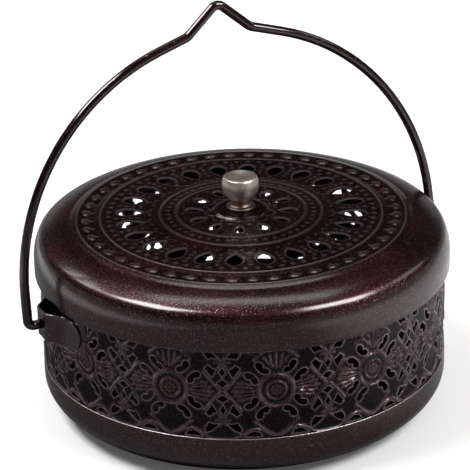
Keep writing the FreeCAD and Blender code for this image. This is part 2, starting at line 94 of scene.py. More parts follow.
def spun(points: np.ndarray, turn: float) -> np.ndarray:
    """The points of a plan turned about its origin."""
    return points @ np.array([[math.cos(turn), math.sin(turn)], [-math.sin(turn), math.cos(turn)]])


def softened(line: np.ndarray) -> np.ndarray:
    """Cut the inner corners of an open line round, twice, and keep its ends.

    Args:
        line: the line's corners.

    Returns:
        The rounder line.
    """
    for _ in range(2):
        near = line[:-1] * 0.75 + line[1:] * 0.25
        far = line[:-1] * 0.25 + line[1:] * 0.75
        cut = np.stack([near, far], axis=1).reshape(-1, line.shape[1])
        line = np.vstack([line[:1], cut[1:-1], line[-1:]])
    return line


def lengths_along(line: np.ndarray) -> np.ndarray:
    """The length of an open line up to each of its points."""
    return np.concatenate([[0.0], np.cumsum(np.hypot(*(line[1:] - line[:-1]).T))])


def places_at(line: np.ndarray, lengths: np.ndarray, wanted: np.ndarray) -> np.ndarray:
    """The places of an open line at the wanted lengths along it."""
    return np.column_stack([np.interp(wanted, lengths, line[:, axis]) for axis in range(2)])


def spaced_along(line: np.ndarray, gap: float) -> np.ndarray:
    """Space points evenly along an open line, both ends included.

    Args:
        line: the line's corners.
        gap: about how far apart the points lie.

    Returns:
        The points.
    """
    lengths = lengths_along(line)
    count = max(1, round(lengths[-1] / gap))
    return places_at(line, lengths, np.linspace(0.0, lengths[-1], count + 1))


def spaced_loop(corners: np.ndarray, gap: float) -> np.ndarray:
    """Points along a closed outline with all its corners kept."""
    runs = zip(corners, np.roll(corners, -1, axis=0))
    return np.vstack([spaced_along(np.array(run), gap)[:-1] for run in runs])


def circle(radius: float, gap: float) -> np.ndarray:
    """Points round a circle, about a gap apart."""
    return polar(radius, np.linspace(0.0, math.tau, max(8, round(math.tau * radius / gap)), endpoint=False))


def line_distance(points: np.ndarray, line: np.ndarray) -> np.ndarray:
    """Measure how far each point lies from an open line.

    Args:
        points: the points.
        line: the line's corners.

    Returns:
        Each point's distance.
    """
    nearest = np.full(len(points), np.inf)
    for start, end in zip(line, line[1:]):
        run = end - start
        share = np.clip((points - start) @ run / max(float(run @ run), LEAST_SQUARE), 0.0, 1.0)
        nearest = np.minimum(nearest, np.hypot(*(points - start - share[:, None] * run).T))
    return nearest


def loop_distance(points: np.ndarray, loop: np.ndarray) -> np.ndarray:
    """How far each point lies from a closed outline."""
    return line_distance(points, np.vstack([loop, loop[:1]]))


def outward_normals(loop: np.ndarray) -> np.ndarray:
    """Find the unit normals of a closed outline that point away from its middle.

    Args:
        loop: the outline's points.

    Returns:
        The normal at each point.
    """
    ahead = np.roll(loop, -1, axis=0) - np.roll(loop, 1, axis=0)
    normal = np.column_stack([ahead[:, 1], -ahead[:, 0]]) / np.hypot(*ahead.T)[:, None]
    return normal * np.sign(((loop - loop.mean(axis=0)) * normal).sum(axis=1).sum())


def inside(points: np.ndarray, loop: np.ndarray) -> np.ndarray:
    """Test which points lie inside a closed outline.

    Args:
        points: the points.
        loop: the outline.

    Returns:
        A mask of the points inside.
    """
    within = np.zeros(len(points), dtype=bool)
    near = np.flatnonzero(((points >= loop.min(axis=0)) & (points <= loop.max(axis=0))).all(axis=1))
    x, y = points[near].T
    crossings = np.zeros(len(near), dtype=bool)
    for (ax, ay), (bx, by) in zip(loop, np.roll(loop, -1, axis=0)):
        if ay != by:
            spans = (ay > y) != (by > y)
            crossings ^= spans & (x < (bx - ax) * (y - ay) / (by - ay) + ax)
    within[near] = crossings
    return within


def outside_all(points: np.ndarray, loops: list[np.ndarray]) -> np.ndarray:
    """A mask of the points that lie inside none of the outlines."""
    return ~np.any([np.zeros(len(points), dtype=bool)] + [inside(points, loop) for loop in loops], axis=0)


def hex_grid(low: Flat, high: Flat, gap: float) -> np.ndarray:
    """Fill a rectangle with points in staggered rows that don't touch its edges.

    Args:
        low: the rectangle's lower left corner.
        high: its upper right corner.
        gap: about how far apart the points lie.

    Returns:
        The points, row by row.
    """
    rows = max(1, round((high[1] - low[1]) / (gap * math.sqrt(3) / 2)))
    columns = max(2, round((high[0] - low[0]) / gap))
    pitch = (high[0] - low[0]) / columns
    return table((low[0] + (column + STAGGER[row % 2]) * pitch, low[1] + (row + 0.5) * (high[1] - low[1]) / rows)
                 for row in range(rows) for column in range(columns))


def kept_apart(taken: np.ndarray, wanted: Iterable[np.ndarray], gap: float) -> np.ndarray:
    """Let in the wanted points, in order, that lie at least a gap from all those before them.

    Args:
        taken: points that are there already.
        wanted: groups of points, the most wanted first.
        gap: the least distance between two points.

    Returns:
        The points that were let in.
    """
    cells: dict[tuple[int, int], list[Flat]] = {}
    beside = [(across, up) for across in (-1, 0, 1) for up in (-1, 0, 1)]

    def admit(x: float, y: float, test: bool) -> bool:
        """Store a point unless it is tested and too near another one.

        Args:
            x: the point's first coordinate.
            y: its second one.
            test: whether it may be left out.

        Returns:
            Whether it was stored.
        """
        column, row = math.floor(x / gap), math.floor(y / gap)
        if test and any((other_x - x) ** 2 + (other_y - y) ** 2 < gap * gap for across, up in beside
                        for other_x, other_y in cells.get((column + across, row + up), ())):
            return False
        cells.setdefault((column, row), []).append((x, y))
        return True

    for x, y in taken.tolist():
        admit(x, y, False)
    return table((x, y) for group in wanted for x, y in group.tolist() if admit(x, y, True))


def ramp_profile(distance: np.ndarray, width: float) -> np.ndarray:
    """A straight slope that is one on a line and falls to zero at its width."""
    return np.clip(1.0 - distance / width, 0.0, 1.0)


def bump_profile(distance: np.ndarray, half_width: float) -> np.ndarray:
    """A smooth bump that is one on a line and falls to zero at its half width."""
    return 0.5 + 0.5 * np.cos(math.pi * np.clip(distance / half_width, 0.0, 1.0))


def dome_profile(distance: np.ndarray, half_width: float) -> np.ndarray:
    """A dome that is one in the middle and falls steeply to zero at its half width."""
    return np.sqrt(1.0 - np.clip(distance / half_width, 0.0, 1.0) ** 2)


def smooth_step(low: float, high: float, value: np.ndarray) -> np.ndarray:
    """A smooth rise from zero at the low value to one at the high one."""
    share = np.clip((value - low) / (high - low), 0.0, 1.0)
    return share * share * (3.0 - 2.0 * share)


@dataclass(frozen=True)
class Ridge:
    """A raised line in pressed sheet, in both halves of a tile or in its upper half only."""

    line: tuple[Flat, ...]
    half_width: float
    height: float
    # The ridge's share of painted highlight, scaled by the tile's ridge shine.
    bright: float
    upper_only: bool = False

    def rise(self, points: np.ndarray) -> np.ndarray:
        """The ridge's height over each point."""
        return self.height * bump_profile(line_distance(points, table(self.line)), self.half_width)


@dataclass
class Solid:
    """The points and faces of a closed mesh in millimetres, and what its finish reads at each point."""

    points: np.ndarray
    faces: list[Face]
    # rim is each point's share of painted highlight. rise is the height that the paint reads for painted shade and
    # highlights, or on the knob the mask of its darker foot and neck.
    rim: np.ndarray | None = None
    rise: np.ndarray | None = None

    def as_object(self, name: str, sharp_angle: float = 38.0) -> bpy.types.Object:
        """Make the Blender object.

        Args:
            name: the object's name.
            sharp_angle: the least angle, in degrees, at which an edge is drawn sharp.

        Returns:
            The linked object, at the origin.
        """
        mesh = bpy.data.meshes.new(name)
        mesh.from_pydata((self.points * MM).tolist(), [], self.faces)
        mesh.polygons.foreach_set("use_smooth", [True] * len(mesh.polygons))
        mesh.set_sharp_from_angle(angle=math.radians(sharp_angle))
        for label, values in (("rim", self.rim), ("rise", self.rise)):
            if values is not None:
                layer = mesh.attributes.new(name=label, type="FLOAT", domain="POINT")
                layer.data.foreach_set("value", values.astype(np.float32))
        mesh.update()
        return linked(name, mesh)


def linked(name: str, data: bpy.types.ID) -> bpy.types.Object:
    """A new object of the scene with the data."""
    piece = bpy.data.objects.new(name, data)
    bpy.context.collection.objects.link(piece)
    return piece


def same_places(points: np.ndarray, grid: float) -> tuple[np.ndarray, np.ndarray]:
    """Find the points that lie in the same place.

    Args:
        points: the points.
        grid: how far apart two places are at least.

    Returns:
        The first point at each place, and the place's number for every point.
    """
    keys = np.round(points / grid).astype(np.int64)
    _, first, number = np.unique(keys, axis=0, return_index=True, return_inverse=True)
    return first, number.reshape(-1)


def border_edges(triangles: np.ndarray) -> np.ndarray:
    """Find the directed edges that only one triangle uses.

    Args:
        triangles: the triangles as rows of point numbers.

    Returns:
        The edges as rows of two point numbers.
    """
    edges = np.vstack([triangles[:, [0, 1]], triangles[:, [1, 2]], triangles[:, [2, 0]]])
    _, number, uses = np.unique(np.sort(edges, axis=1), axis=0, return_inverse=True, return_counts=True)
    return edges[uses[number.reshape(-1)] == 1]


@dataclass
class Skin:
    """One side of a sheet: its points, and its triangles, anticlockwise from the front."""

    points: np.ndarray
    faces: np.ndarray


@dataclass
class FlatPlan:
    """The plan of a thin sheet: closed outlines, the sheet's edge first, and loose points for each skin."""

    outlines: list[np.ndarray]
    front_points: np.ndarray
    back_points: np.ndarray

    @property
    def shared(self) -> int:
        """How many points the outlines have, which come first in both skins."""
        return sum(len(loop) for loop in self.outlines)

    def skin(self, loose: np.ndarray) -> Skin:
        """Triangulate the plan.

        Args:
            loose: the points between the outlines.

        Returns:
            The flat skin.
        """
        points = np.vstack(self.outlines + [loose])
        edges = []
        start = 0
        for loop in self.outlines:
            count = len(loop)
            edges += [(start + index, start + (index + 1) % count) for index in range(count)]
            start += count
        result = delaunay_2d_cdt([Vector(point) for point in points.tolist()], edges, [], 0, PLAN_GRAIN)
        origin = np.array([numbers[0] if numbers else -1 for numbers in result[3]])
        if len(origin) != len(points) or origin.min() < 0:
            log.warning("plan points changed: %d in, %d out", len(points), len(origin))
        triangles = origin[np.array(result[2])]
        corners = points[triangles]
        middles = corners.mean(axis=1)
        keep = inside(middles, self.outlines[0]) & outside_all(middles, self.outlines[1:])
        first, second = corners[:, 1] - corners[:, 0], corners[:, 2] - corners[:, 0]
        area = first[:, 0] * second[:, 1] - first[:, 1] * second[:, 0]
        triangles[area < 0] = triangles[area < 0][:, ::-1]
        return Skin(points, triangles[keep & (np.abs(area) > LEAST_AREA)])


class SheetStack:
    """Collects the placed copies of flat plans and stitches their two skins into one closed sheet."""

    def __init__(self) -> None:
        """Start with no copies."""
        self.copies: list[dict[str, np.ndarray]] = []

    def gathered(self, key: str) -> np.ndarray:
        """One kind of value from all the copies, in order."""
        return np.concatenate([copy[key] for copy in self.copies])

    def add(self, front: Skin, back: Skin, shared: int, rim: np.ndarray, rise: np.ndarray) -> None:
        """Add one placed copy.

        Args:
            front: the placed front skin.
            back: the placed back skin.
            shared: how many points at the start of both skins are the same places on the outlines.
            rim: the front points' share of painted highlight.
            rise: the front points' height as the paint reads it for its painted shade and highlights.
        """
        fronts, backs = (sum(len(copy[side]) for copy in self.copies) for side in ("front", "back"))
        numbers = np.arange(shared)
        self.copies.append({
            "front": front.points, "front_faces": front.faces + fronts, "rim": rim, "rise": rise,
            "back": back.points, "back_faces": back.faces[:, ::-1] + backs,
            # Painted highlight: the back skin's outline points take more of it than the front, so the cut walls read
            # bright.
            "back_highlight": np.concatenate([np.sqrt(rim[:shared]), np.zeros(len(back.points) - shared)]),
            "pairs": np.column_stack([numbers + fronts, numbers + backs])})

    def solid(self) -> Solid:
        """Weld the copies and close the sheet at its edges and openings.

        Returns:
            The closed sheet.
        """
        front_first, front_number = same_places(self.gathered("front"), WELD_GRID)
        back_first, back_number = same_places(self.gathered("back"), WELD_GRID)
        back_number = back_number + len(front_first)
        front_faces = front_number[self.gathered("front_faces")]
        pairs = self.gathered("pairs")
        behind = np.full(len(front_first), -1)
        behind[front_number[pairs[:, 0]]] = back_number[pairs[:, 1]]
        edges = border_edges(front_faces)
        walls = np.column_stack([edges[:, ::-1], behind[edges]])
        if walls.min() < 0:
            log.warning("a sheet's skins don't meet at %d places", int((walls.min(axis=1) < 0).sum()))
            walls = walls[walls.min(axis=1) >= 0]
        groups = (front_faces, back_number[self.gathered("back_faces")], walls)
        return Solid(np.vstack([self.gathered("front")[front_first], self.gathered("back")[back_first]]),
                     [tuple(face) for group in groups for face in group.tolist()],
                     np.concatenate([self.gathered("rim")[front_first], self.gathered("back_highlight")[back_first]]),
                     np.concatenate([self.gathered("rise")[front_first], np.zeros(len(back_first))]))


def rounded_line(corners: list[Vector], bends: tuple[float, ...], turn_step: float) -> list[Vector]:
    """Draw a line through corners with tangent arcs, limited to the straight runs beside them.

    Args:
        corners: the corners, ends included.
        bends: the arc's radius at each inner corner.
        turn_step: the greatest turn, in degrees, from one point of an arc to the next.

    Returns:
        The points of the line.
    """
    halves = [(before - corner).angle(after - corner) / 2
              for before, corner, after in zip(corners, corners[1:], corners[2:])]
    reaches = [0.0] + [bend / math.tan(half) for bend, half in zip(bends, halves)] + [0.0]
    for index, (first, second) in enumerate(zip(corners, corners[1:])):
        needed = reaches[index] + reaches[index + 1]
        room = (second - first).length * ROOM_SHARE
        if needed > room:
            reaches[index] *= room / needed
            reaches[index + 1] *= room / needed
    points = [corners[0].copy()]
    for before, corner, after, reach, half in zip(corners, corners[1:], corners[2:], reaches[1:], halves):
        back, ahead = (before - corner).normalized(), (after - corner).normalized()
        middle = corner + (back + ahead).normalized() * (reach / math.cos(half))
        first_spoke, last_spoke = corner + back * reach - middle, corner + ahead * reach - middle
        turn = math.pi - 2 * half
        steps = max(1, math.ceil(math.degrees(turn) / turn_step))
        for share in (step / steps for step in range(steps + 1)):
            spoke = first_spoke * math.sin((1 - share) * turn) + last_spoke * math.sin(share * turn)
            points.append(middle + spoke / math.sin(turn))
    return points + [corners[-1].copy()]


def ring_quads(rings: int, count: int, first: int = 0) -> list[Face]:
    """Join rings of points that follow each other.

    Args:
        rings: how many rings there are.
        count: how many points each ring has.
        first: the number of the first ring's first point.

    Returns:
        The quads, each over to the next ring and back at the following place.
    """
    quads = []
    for lower in range(first, first + (rings - 1) * count, count):
        for here in range(count):
            following = (here + 1) % count
            quads.append((lower + here, lower + count + here, lower + count + following, lower + following))
    return quads


def capped_rings(rings: int, count: int) -> list[Face]:
    """Join rings of points, and close them with a fan to the point before and to the point after them.

    Args:
        rings: how many rings there are.
        count: how many points each ring has.

    Returns:
        The faces.
    """
    last = 1 + (rings - 1) * count
    faces = ring_quads(rings, count, 1)
    for here in range(count):
        following = (here + 1) % count
        faces += [(0, 1 + here, 1 + following), (last + count, last + following, last + here)]
    return faces


def lathe(profile: list[Flat], segments: int) -> Solid:
    """Turn a profile that starts and ends on the vertical axis into a closed solid.

    Args:
        profile: radius and height of each point, anticlockwise in the half plane, the first and last
            with radius zero.
        segments: how many points each turned ring has.

    Returns:
        The solid.
    """
    turns = np.linspace(0.0, math.tau, segments, endpoint=False)
    rings = [np.column_stack([polar(radius, turns), np.full(segments, height)]) for radius, height in profile[1:-1]]
    points = np.vstack([(0.0, *profile[0]), *rings, (0.0, *profile[-1])])
    return Solid(points, [(face[0], *face[:0:-1]) for face in capped_rings(len(rings), segments)])


def tube(line: list[Vector], radius: float, sides: int, end_round: float) -> Solid:
    """Bend a round wire along a line, with rounded ends.

    Args:
        line: the wire's middle line, which lies in one plane.
        radius: the wire's radius.
        sides: how many points its section has.
        end_round: how far the edge of each cut end is rounded.

    Returns:
        The solid.
    """
    start, finish = line[0], line[-1]
    ahead, behind = (line[1] - start).normalized(), (line[-2] - finish).normalized()
    stations = [(start + ahead * end_round * reach, share) for reach, share in END_STEPS]
    stations += [(point, 1.0) for point in line[1:-1]]
    stations += [(finish + behind * end_round * reach, share) for reach, share in END_STEPS[::-1]]
    centre = sum(line, Vector()) / len(line)
    normal = max(((point - centre).cross(start - centre) for point in line),
                 key=lambda vector: vector.length).normalized()
    turns = [math.tau * index / sides for index in range(sides)]
    points = [start]
    for number, (place, share) in enumerate(stations):
        before, after = stations[max(0, number - 1)][0], stations[min(len(stations) - 1, number + 1)][0]
        side = normal.cross((after - before).normalized()).normalized()
        points += [place + (normal * math.cos(turn) + side * math.sin(turn)) * radius * share for turn in turns]
    return Solid(np.array([tuple(point) for point in points + [finish]]), capped_rings(len(stations), sides))


class Bench:
    """Places and joins the nodes of one tree."""

    def __init__(self, tree: bpy.types.NodeTree) -> None:
        """Work on a tree that starts empty."""
        self.tree = tree
        tree.nodes.clear()

    def node(self, kind: str, inputs: dict[str | int, object] | None = None, **settings: object) -> bpy.types.Node:
        """Add a node.

        Args:
            kind: the node's type.
            inputs: for an input's name or number, a value or the output socket that feeds it.
            settings: the node's own properties.

        Returns:
            The node.
        """
        item = self.tree.nodes.new(kind)
        for name, value in settings.items():
            setattr(item, name, value)
        for key, value in (inputs or {}).items():
            if isinstance(value, bpy.types.NodeSocket):
                self.tree.links.new(value, item.inputs[key])
            else:
                item.inputs[key].default_value = value
        return item

    def maths(self, operation: str, first: object, second: object) -> bpy.types.NodeSocket:
        """The result of a sum of two values."""
        return self.node("ShaderNodeMath", {0: first, 1: second}, operation=operation).outputs[0]

    def vectors(self, operation: str, inputs: dict[str | int, object], output: int = 0) -> bpy.types.NodeSocket:
        """The vector, or with output 1 the value, that a sum of vectors gives."""
        return self.node("ShaderNodeVectorMath", inputs, operation=operation).outputs[output]

    def mixed(self, share: object, first: object, second: object) -> bpy.types.NodeSocket:
        """A colour between two colours."""
        return self.node("ShaderNodeMix", {0: share, 6: first, 7: second}, data_type="RGBA").outputs[2]

    def blended(self, share: object, first: object, second: object) -> bpy.types.NodeSocket:
        """A value between two values."""
        return self.node("ShaderNodeMix", {0: share, 2: first, 3: second}).outputs[0]

    def between(self, value: object, low: float, high: float, to_low: float, to_high: float) -> bpy.types.NodeSocket:
        """A value carried from one range to another."""
        return self.node("ShaderNodeMapRange", {0: value, 1: low, 2: high, 3: to_low, 4: to_high}).outputs[0]

    def place(self) -> bpy.types.NodeSocket:
        """The place on the object."""
        return self.node("ShaderNodeTexCoord").outputs["Object"]

    def mask(self, name: str) -> bpy.types.NodeSocket:
        """A number that the mesh carries at its points."""
        return self.node("ShaderNodeAttribute", attribute_name=name).outputs["Fac"]

    def group(self, tree: bpy.types.NodeTree, **inputs: float) -> bpy.types.bpy_prop_collection:
        """Add a shared effect and give its outputs."""
        return self.node("ShaderNodeGroup", inputs, node_tree=tree).outputs

    def surface(self, inputs: dict[str | int, object]) -> None:
        """Close a material's tree with its shader."""
        shader = self.node("ShaderNodeBsdfPrincipled", inputs)
        self.node("ShaderNodeOutputMaterial", {"Surface": shader.outputs[0]})


def new_material(name: str) -> tuple[bpy.types.Material, Bench]:
    """A new material, and the bench for its nodes."""
    material = bpy.data.materials.new(name)
    material.use_nodes = True
    return material, Bench(material.node_tree)


def effect(name: str, inputs: dict[str, float],
           outputs: dict[str, str]) -> tuple[bpy.types.NodeTree, Bench, bpy.types.bpy_prop_collection]:
    """Start a shared effect.

    Args:
        name: the group's name.
        inputs: each number that a material gives, with its default.
        outputs: each result, with its socket type.

    Returns:
        The group, its bench and what it is given.
    """
    group = bpy.data.node_groups.new(name, "ShaderNodeTree")
    for label, default in inputs.items():
        group.interface.new_socket(label, in_out="INPUT", socket_type="NodeSocketFloat").default_value = default
    for label, kind in outputs.items():
        group.interface.new_socket(label, in_out="OUTPUT", socket_type=kind)
    bench = Bench(group)
    return group, bench, bench.node("NodeGroupInput").outputs


def fleck_effect() -> bpy.types.NodeTree:
    """Make fine metal flecks in paint.

    Returns:
        The group. It gives a mask that is one on each fleck, a shade, and the way that each fleck faces.
    """
    group, bench, given = effect("MetalFlecks", {"Scale": 2400.0, "Share": 0.2, "Size": 0.5, "Tilt": 0.3},
                                 {"Mask": "NodeSocketFloat", "Shade": "NodeSocketFloat",
                                  "Normal": "NodeSocketVector"})
    cells = bench.node("ShaderNodeTexVoronoi", {"Vector": bench.place(), "Scale": given["Scale"]}).outputs
    parts = bench.node("ShaderNodeSeparateColor", {0: cells["Color"]}).outputs
    chosen = bench.maths("LESS_THAN", parts[0], given["Share"])
    near = bench.maths("LESS_THAN", cells["Distance"], given["Size"])
    aside = bench.vectors("SUBTRACT", {0: cells["Color"], 1: (0.5, 0.5, 0.5)})
    tilted = bench.vectors("SCALE", {0: aside, "Scale": given["Tilt"]})
    normal = bench.vectors("ADD", {0: bench.node("ShaderNodeNewGeometry").outputs["Normal"], 1: tilted})
    bench.node("NodeGroupOutput", {"Mask": bench.maths("MULTIPLY", chosen, near), "Shade": parts[1],
                                   "Normal": bench.vectors("NORMALIZE", {0: normal})})
    return group


def grain_effect() -> bpy.types.NodeTree:
    """Make the slow and fine unevenness of a sprayed or cast surface.

    Returns:
        The group. It gives slow patches and a fine height.
    """
    group, bench, given = effect("SurfaceGrain", {"Coarse": 40.0, "Fine": 700.0},
                                 {"Patches": "NodeSocketFloat", "Height": "NodeSocketFloat"})
    place = bench.place()
    slow, fine = (bench.node("ShaderNodeTexNoise", {"Vector": place, "Scale": given[scale], "Detail": detail})
                  for scale, detail in (("Coarse", 3.0), ("Fine", 2.0)))
    bench.node("NodeGroupOutput", {"Patches": slow.outputs[0], "Height": fine.outputs[0]})
    return group


def opaque(colour: Colour) -> tuple[float, float, float, float]:
    """The colour with full cover."""
    return (*colour, 1.0)


@dataclass(frozen=True)
class Effects:
    """The shared effects, built once."""

    flecks: bpy.types.NodeTree
    grain: bpy.types.NodeTree

    @classmethod
    def build(cls) -> "Effects":
        """Make every shared effect."""
        return cls(fleck_effect(), grain_effect())


@dataclass(frozen=True)
class PaintFinish:
    """Dark metallic paint under a clear coat, with painted shade that turns the hollows black, a painted highlight that
    lightens the crests and painted glints on thin rims.
    """

    name: str
    # The hollow colour is the painted shade of hollows and plain fields, the crest colour the painted highlight of
    # raised relief, and the rim colour the painted glint of edges and rims.
    hollow_shade: Colour = (0.0014, 0.0005, 0.0007)
    deep: Colour = (0.0170, 0.0034, 0.0045)
    warm: Colour = (0.0390, 0.0072, 0.0094)
    crest: Colour = (0.056, 0.027, 0.038)
    rim: Colour = (0.66, 0.58, 0.59)
    edge_tint: Colour = (0.34, 0.25, 0.27)
    fleck: Colour = (0.24, 0.15, 0.16)
    fleck_scale: float = 3200.0
    fleck_share: float = 0.16
    fleck_size: float = 0.5
    fleck_tilt: float = 0.34
    coarse: float = 38.0
    fine: float = 900.0
    stain: Flat = (0.35, 0.65)
    hollow_at: float = -0.12
    crest_at: Flat = (0.06, 0.32)
    dull_at: float = -0.14
    hollow_fleck: float = 0.2
    hollow_coat: float = 0.15
    roughness: float = 0.39
    smoother: float = 0.04
    rougher: float = 0.05
    rim_roughness: float = 0.3
    metallic: float = 0.88
    specular: float = 0.2
    coat: float = 1.0
    coat_ior: float = 1.62
    coat_roughness: float = 0.2
    bump: float = 0.05

    def material(self, effects: Effects) -> bpy.types.Material:
        """Build the paint.

        Args:
            effects: the shared effects.

        Returns:
            The material.
        """
        material, bench = new_material(self.name)
        grain = bench.group(effects.grain, Coarse=self.coarse, Fine=self.fine)
        flecks = bench.group(effects.flecks, Scale=self.fleck_scale, Share=self.fleck_share,
                             Size=self.fleck_size, Tilt=self.fleck_tilt)
        rim, rise = bench.mask("rim"), bench.mask("rise")
        colour = bench.mixed(bench.between(grain["Patches"], *self.stain, 0.0, 1.0),
                             opaque(self.deep), opaque(self.warm))
        # Painted shade: where the rise mask is low, the colour turns to the hollow colour.
        colour = bench.mixed(bench.between(rise, 0.0, self.hollow_at, 0.0, 1.0), colour, opaque(self.hollow_shade))
        # Painted highlight: where the rise mask is high, the colour turns to the crest colour.
        colour = bench.mixed(bench.between(rise, *self.crest_at, 0.0, 1.0), colour, opaque(self.crest))
        # Painted glints: the rim mask turns edges and rims to the rim colour.
        colour = bench.mixed(rim, colour, opaque(self.rim))
        glint = bench.maths("MULTIPLY", flecks["Mask"], bench.between(flecks["Shade"], 0.0, 1.0, 0.1, 1.0))
        # Painted shade too: the flecks fade out in the hollows.
        glint = bench.maths("MULTIPLY", glint, bench.between(rise, self.dull_at, 0.0, self.hollow_fleck, 1.0))
        rough = bench.between(grain["Patches"], 0.3, 0.7, self.roughness - self.smoother,
                              self.roughness + self.rougher)
        bump = bench.node("ShaderNodeBump", {"Strength": self.bump, "Distance": 0.0005,
                                             "Height": grain["Height"], "Normal": flecks["Normal"]})
        bench.surface({
            "Base Color": bench.mixed(glint, colour, opaque(self.fleck)), "Metallic": self.metallic,
            "Roughness": bench.blended(rim, rough, self.rim_roughness),
            # The coat thins in the hollows, which dims their reflection as painted shade.
            "Coat Weight": bench.between(rise, self.dull_at, 0.0, self.hollow_coat, self.coat),
            "Coat IOR": self.coat_ior, "Coat Roughness": self.coat_roughness,
            "Specular Tint": opaque(self.edge_tint), "Specular IOR Level": self.specular,
            "Normal": bump.outputs[0]})
        return material


@dataclass(frozen=True)
class MetalFinish:
    """Bare or plated metal with slow stains, a fine skin, and a darker tone where the mesh says so."""

    name: str
    dark: Colour
    light: Colour
    roughness: float
    bump: float
    # The colour that the mesh's rise mask mixes in; on the knob it darkens the foot and neck.
    masked_colour: Colour
    spread: float = 0.07
    coarse: float = 160.0
    fine: float = 1800.0
    stain: Flat = (0.36, 0.64)

    def material(self, effects: Effects) -> bpy.types.Material:
        """Build the metal.

        Args:
            effects: the shared effects.

        Returns:
            The material.
        """
        material, bench = new_material(self.name)
        grain = bench.group(effects.grain, Coarse=self.coarse, Fine=self.fine)
        colour = bench.mixed(bench.between(grain["Patches"], *self.stain, 0.0, 1.0),
                             opaque(self.dark), opaque(self.light))
        bump = bench.node("ShaderNodeBump", {"Strength": self.bump, "Distance": 0.0004, "Height": grain["Height"]})
        bench.surface({
            "Base Color": bench.mixed(bench.mask("rise"), colour, opaque(self.masked_colour)), "Metallic": 1.0,
            "Roughness": bench.between(grain["Height"], 0.3, 0.7, self.roughness - self.spread,
                                       self.roughness + self.spread),
            "Normal": bump.outputs[0]})
        return material


PAINT = PaintFinish("dark_metallic_paint")
# The smooth paint's rim colour is a dimmer painted glint, for the lugs' edges.
WIRE_PAINT = PaintFinish("smooth_dark_paint", deep=(0.0085, 0.0019, 0.0025), warm=(0.0190, 0.0038, 0.0050),
                         rim=(0.26, 0.21, 0.22), fleck_share=0.04, coat_roughness=0.1, roughness=0.3, bump=0.03)
BRONZE = MetalFinish("antique_bronze", (0.50, 0.415, 0.355), (0.76, 0.66, 0.58), 0.4, 0.15, (0.15, 0.115, 0.095))
ZINC = MetalFinish("zinc_steel", (0.38, 0.38, 0.37), (0.55, 0.55, 0.54), 0.34, 0.12, (0.3, 0.3, 0.3))


def dress(piece: bpy.types.Object, material: bpy.types.Material, slot: Slot, body: Body, *nodes: str) -> None:
    """Give a piece its finish and body, and let it stand for its nodes.

    Args:
        piece: the piece, in place.
        material: its finish.
        slot: the record's slot of that finish; not used.
        body: the body that it rides on.
        nodes: the construction nodes that it stands for.
    """
    piece.data.materials.clear()
    piece.data.materials.append(material)
    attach(piece, body.value)
    if nodes:
        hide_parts(*nodes)
    log.info("%s: %d faces on %s", piece.name, len(piece.data.polygons), body.value)


def dress_node(name: str, material: bpy.types.Material) -> None:
    """Give a construction node that stays in view its finish.

    Args:
        name: the node's name.
        material: its finish.
    """
    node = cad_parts[name]
    node.data.materials.clear()
    node.data.materials.append(material)
    log.info("%s: carried over", name)


@dataclass
class BasePan:
    """The pressed pan with an upright rim and a broad rounded corner."""

    radius: float = 75.9
    height: float = 19.5
    corner_width: float = 21.5
    corner_height: float = 13.4
    sheet: float = 0.6
    floor_rings: tuple[float, ...] = (0.0, 18.0, 40.0)
    wall_ring: float = 0.85
    rim_steps: int = 6
    rim_shine: float = 0.6
    segments: int = 240
    corner_steps: int = 26

    def skin(self, inset: float) -> list[Flat]:
        """Draw one skin of the pan's section, from the middle of the bottom up to the wall.

        Args:
            inset: how far the skin lies inside the outer one.

        Returns:
            The radius and height of each point.
        """
        width, height = self.corner_width - inset, self.corner_height - inset
        turns = [math.pi / 2 * step / self.corner_steps for step in range(self.corner_steps + 1)]
        middle = (self.radius - self.corner_width, self.corner_height)
        corner = [(middle[0] + width * math.sin(turn), middle[1] - height * math.cos(turn)) for turn in turns]
        return [(ring, inset) for ring in self.floor_rings] + corner + [
            (self.radius - inset, self.height * self.wall_ring)]

    def build(self, material: bpy.types.Material) -> None:
        """Turn the pan.

        Args:
            material: its finish.
        """
        lip = self.sheet / 2
        rim_turns = [math.pi * step / self.rim_steps for step in range(self.rim_steps + 1)]
        rim = [(self.radius - lip + lip * math.cos(turn), self.height - lip + lip * math.sin(turn))
               for turn in rim_turns]
        solid = lathe(self.skin(0.0) + rim + self.skin(self.sheet)[::-1], self.segments)
        # Painted highlight: the rolled top edge takes the rim colour.
        solid.rim = self.rim_shine * (solid.points[:, 2] > self.height - lip + 0.01)
        dress(solid.as_object("pan_shell"), material, Slot.PAINT, Body.BASE, "base_pan")


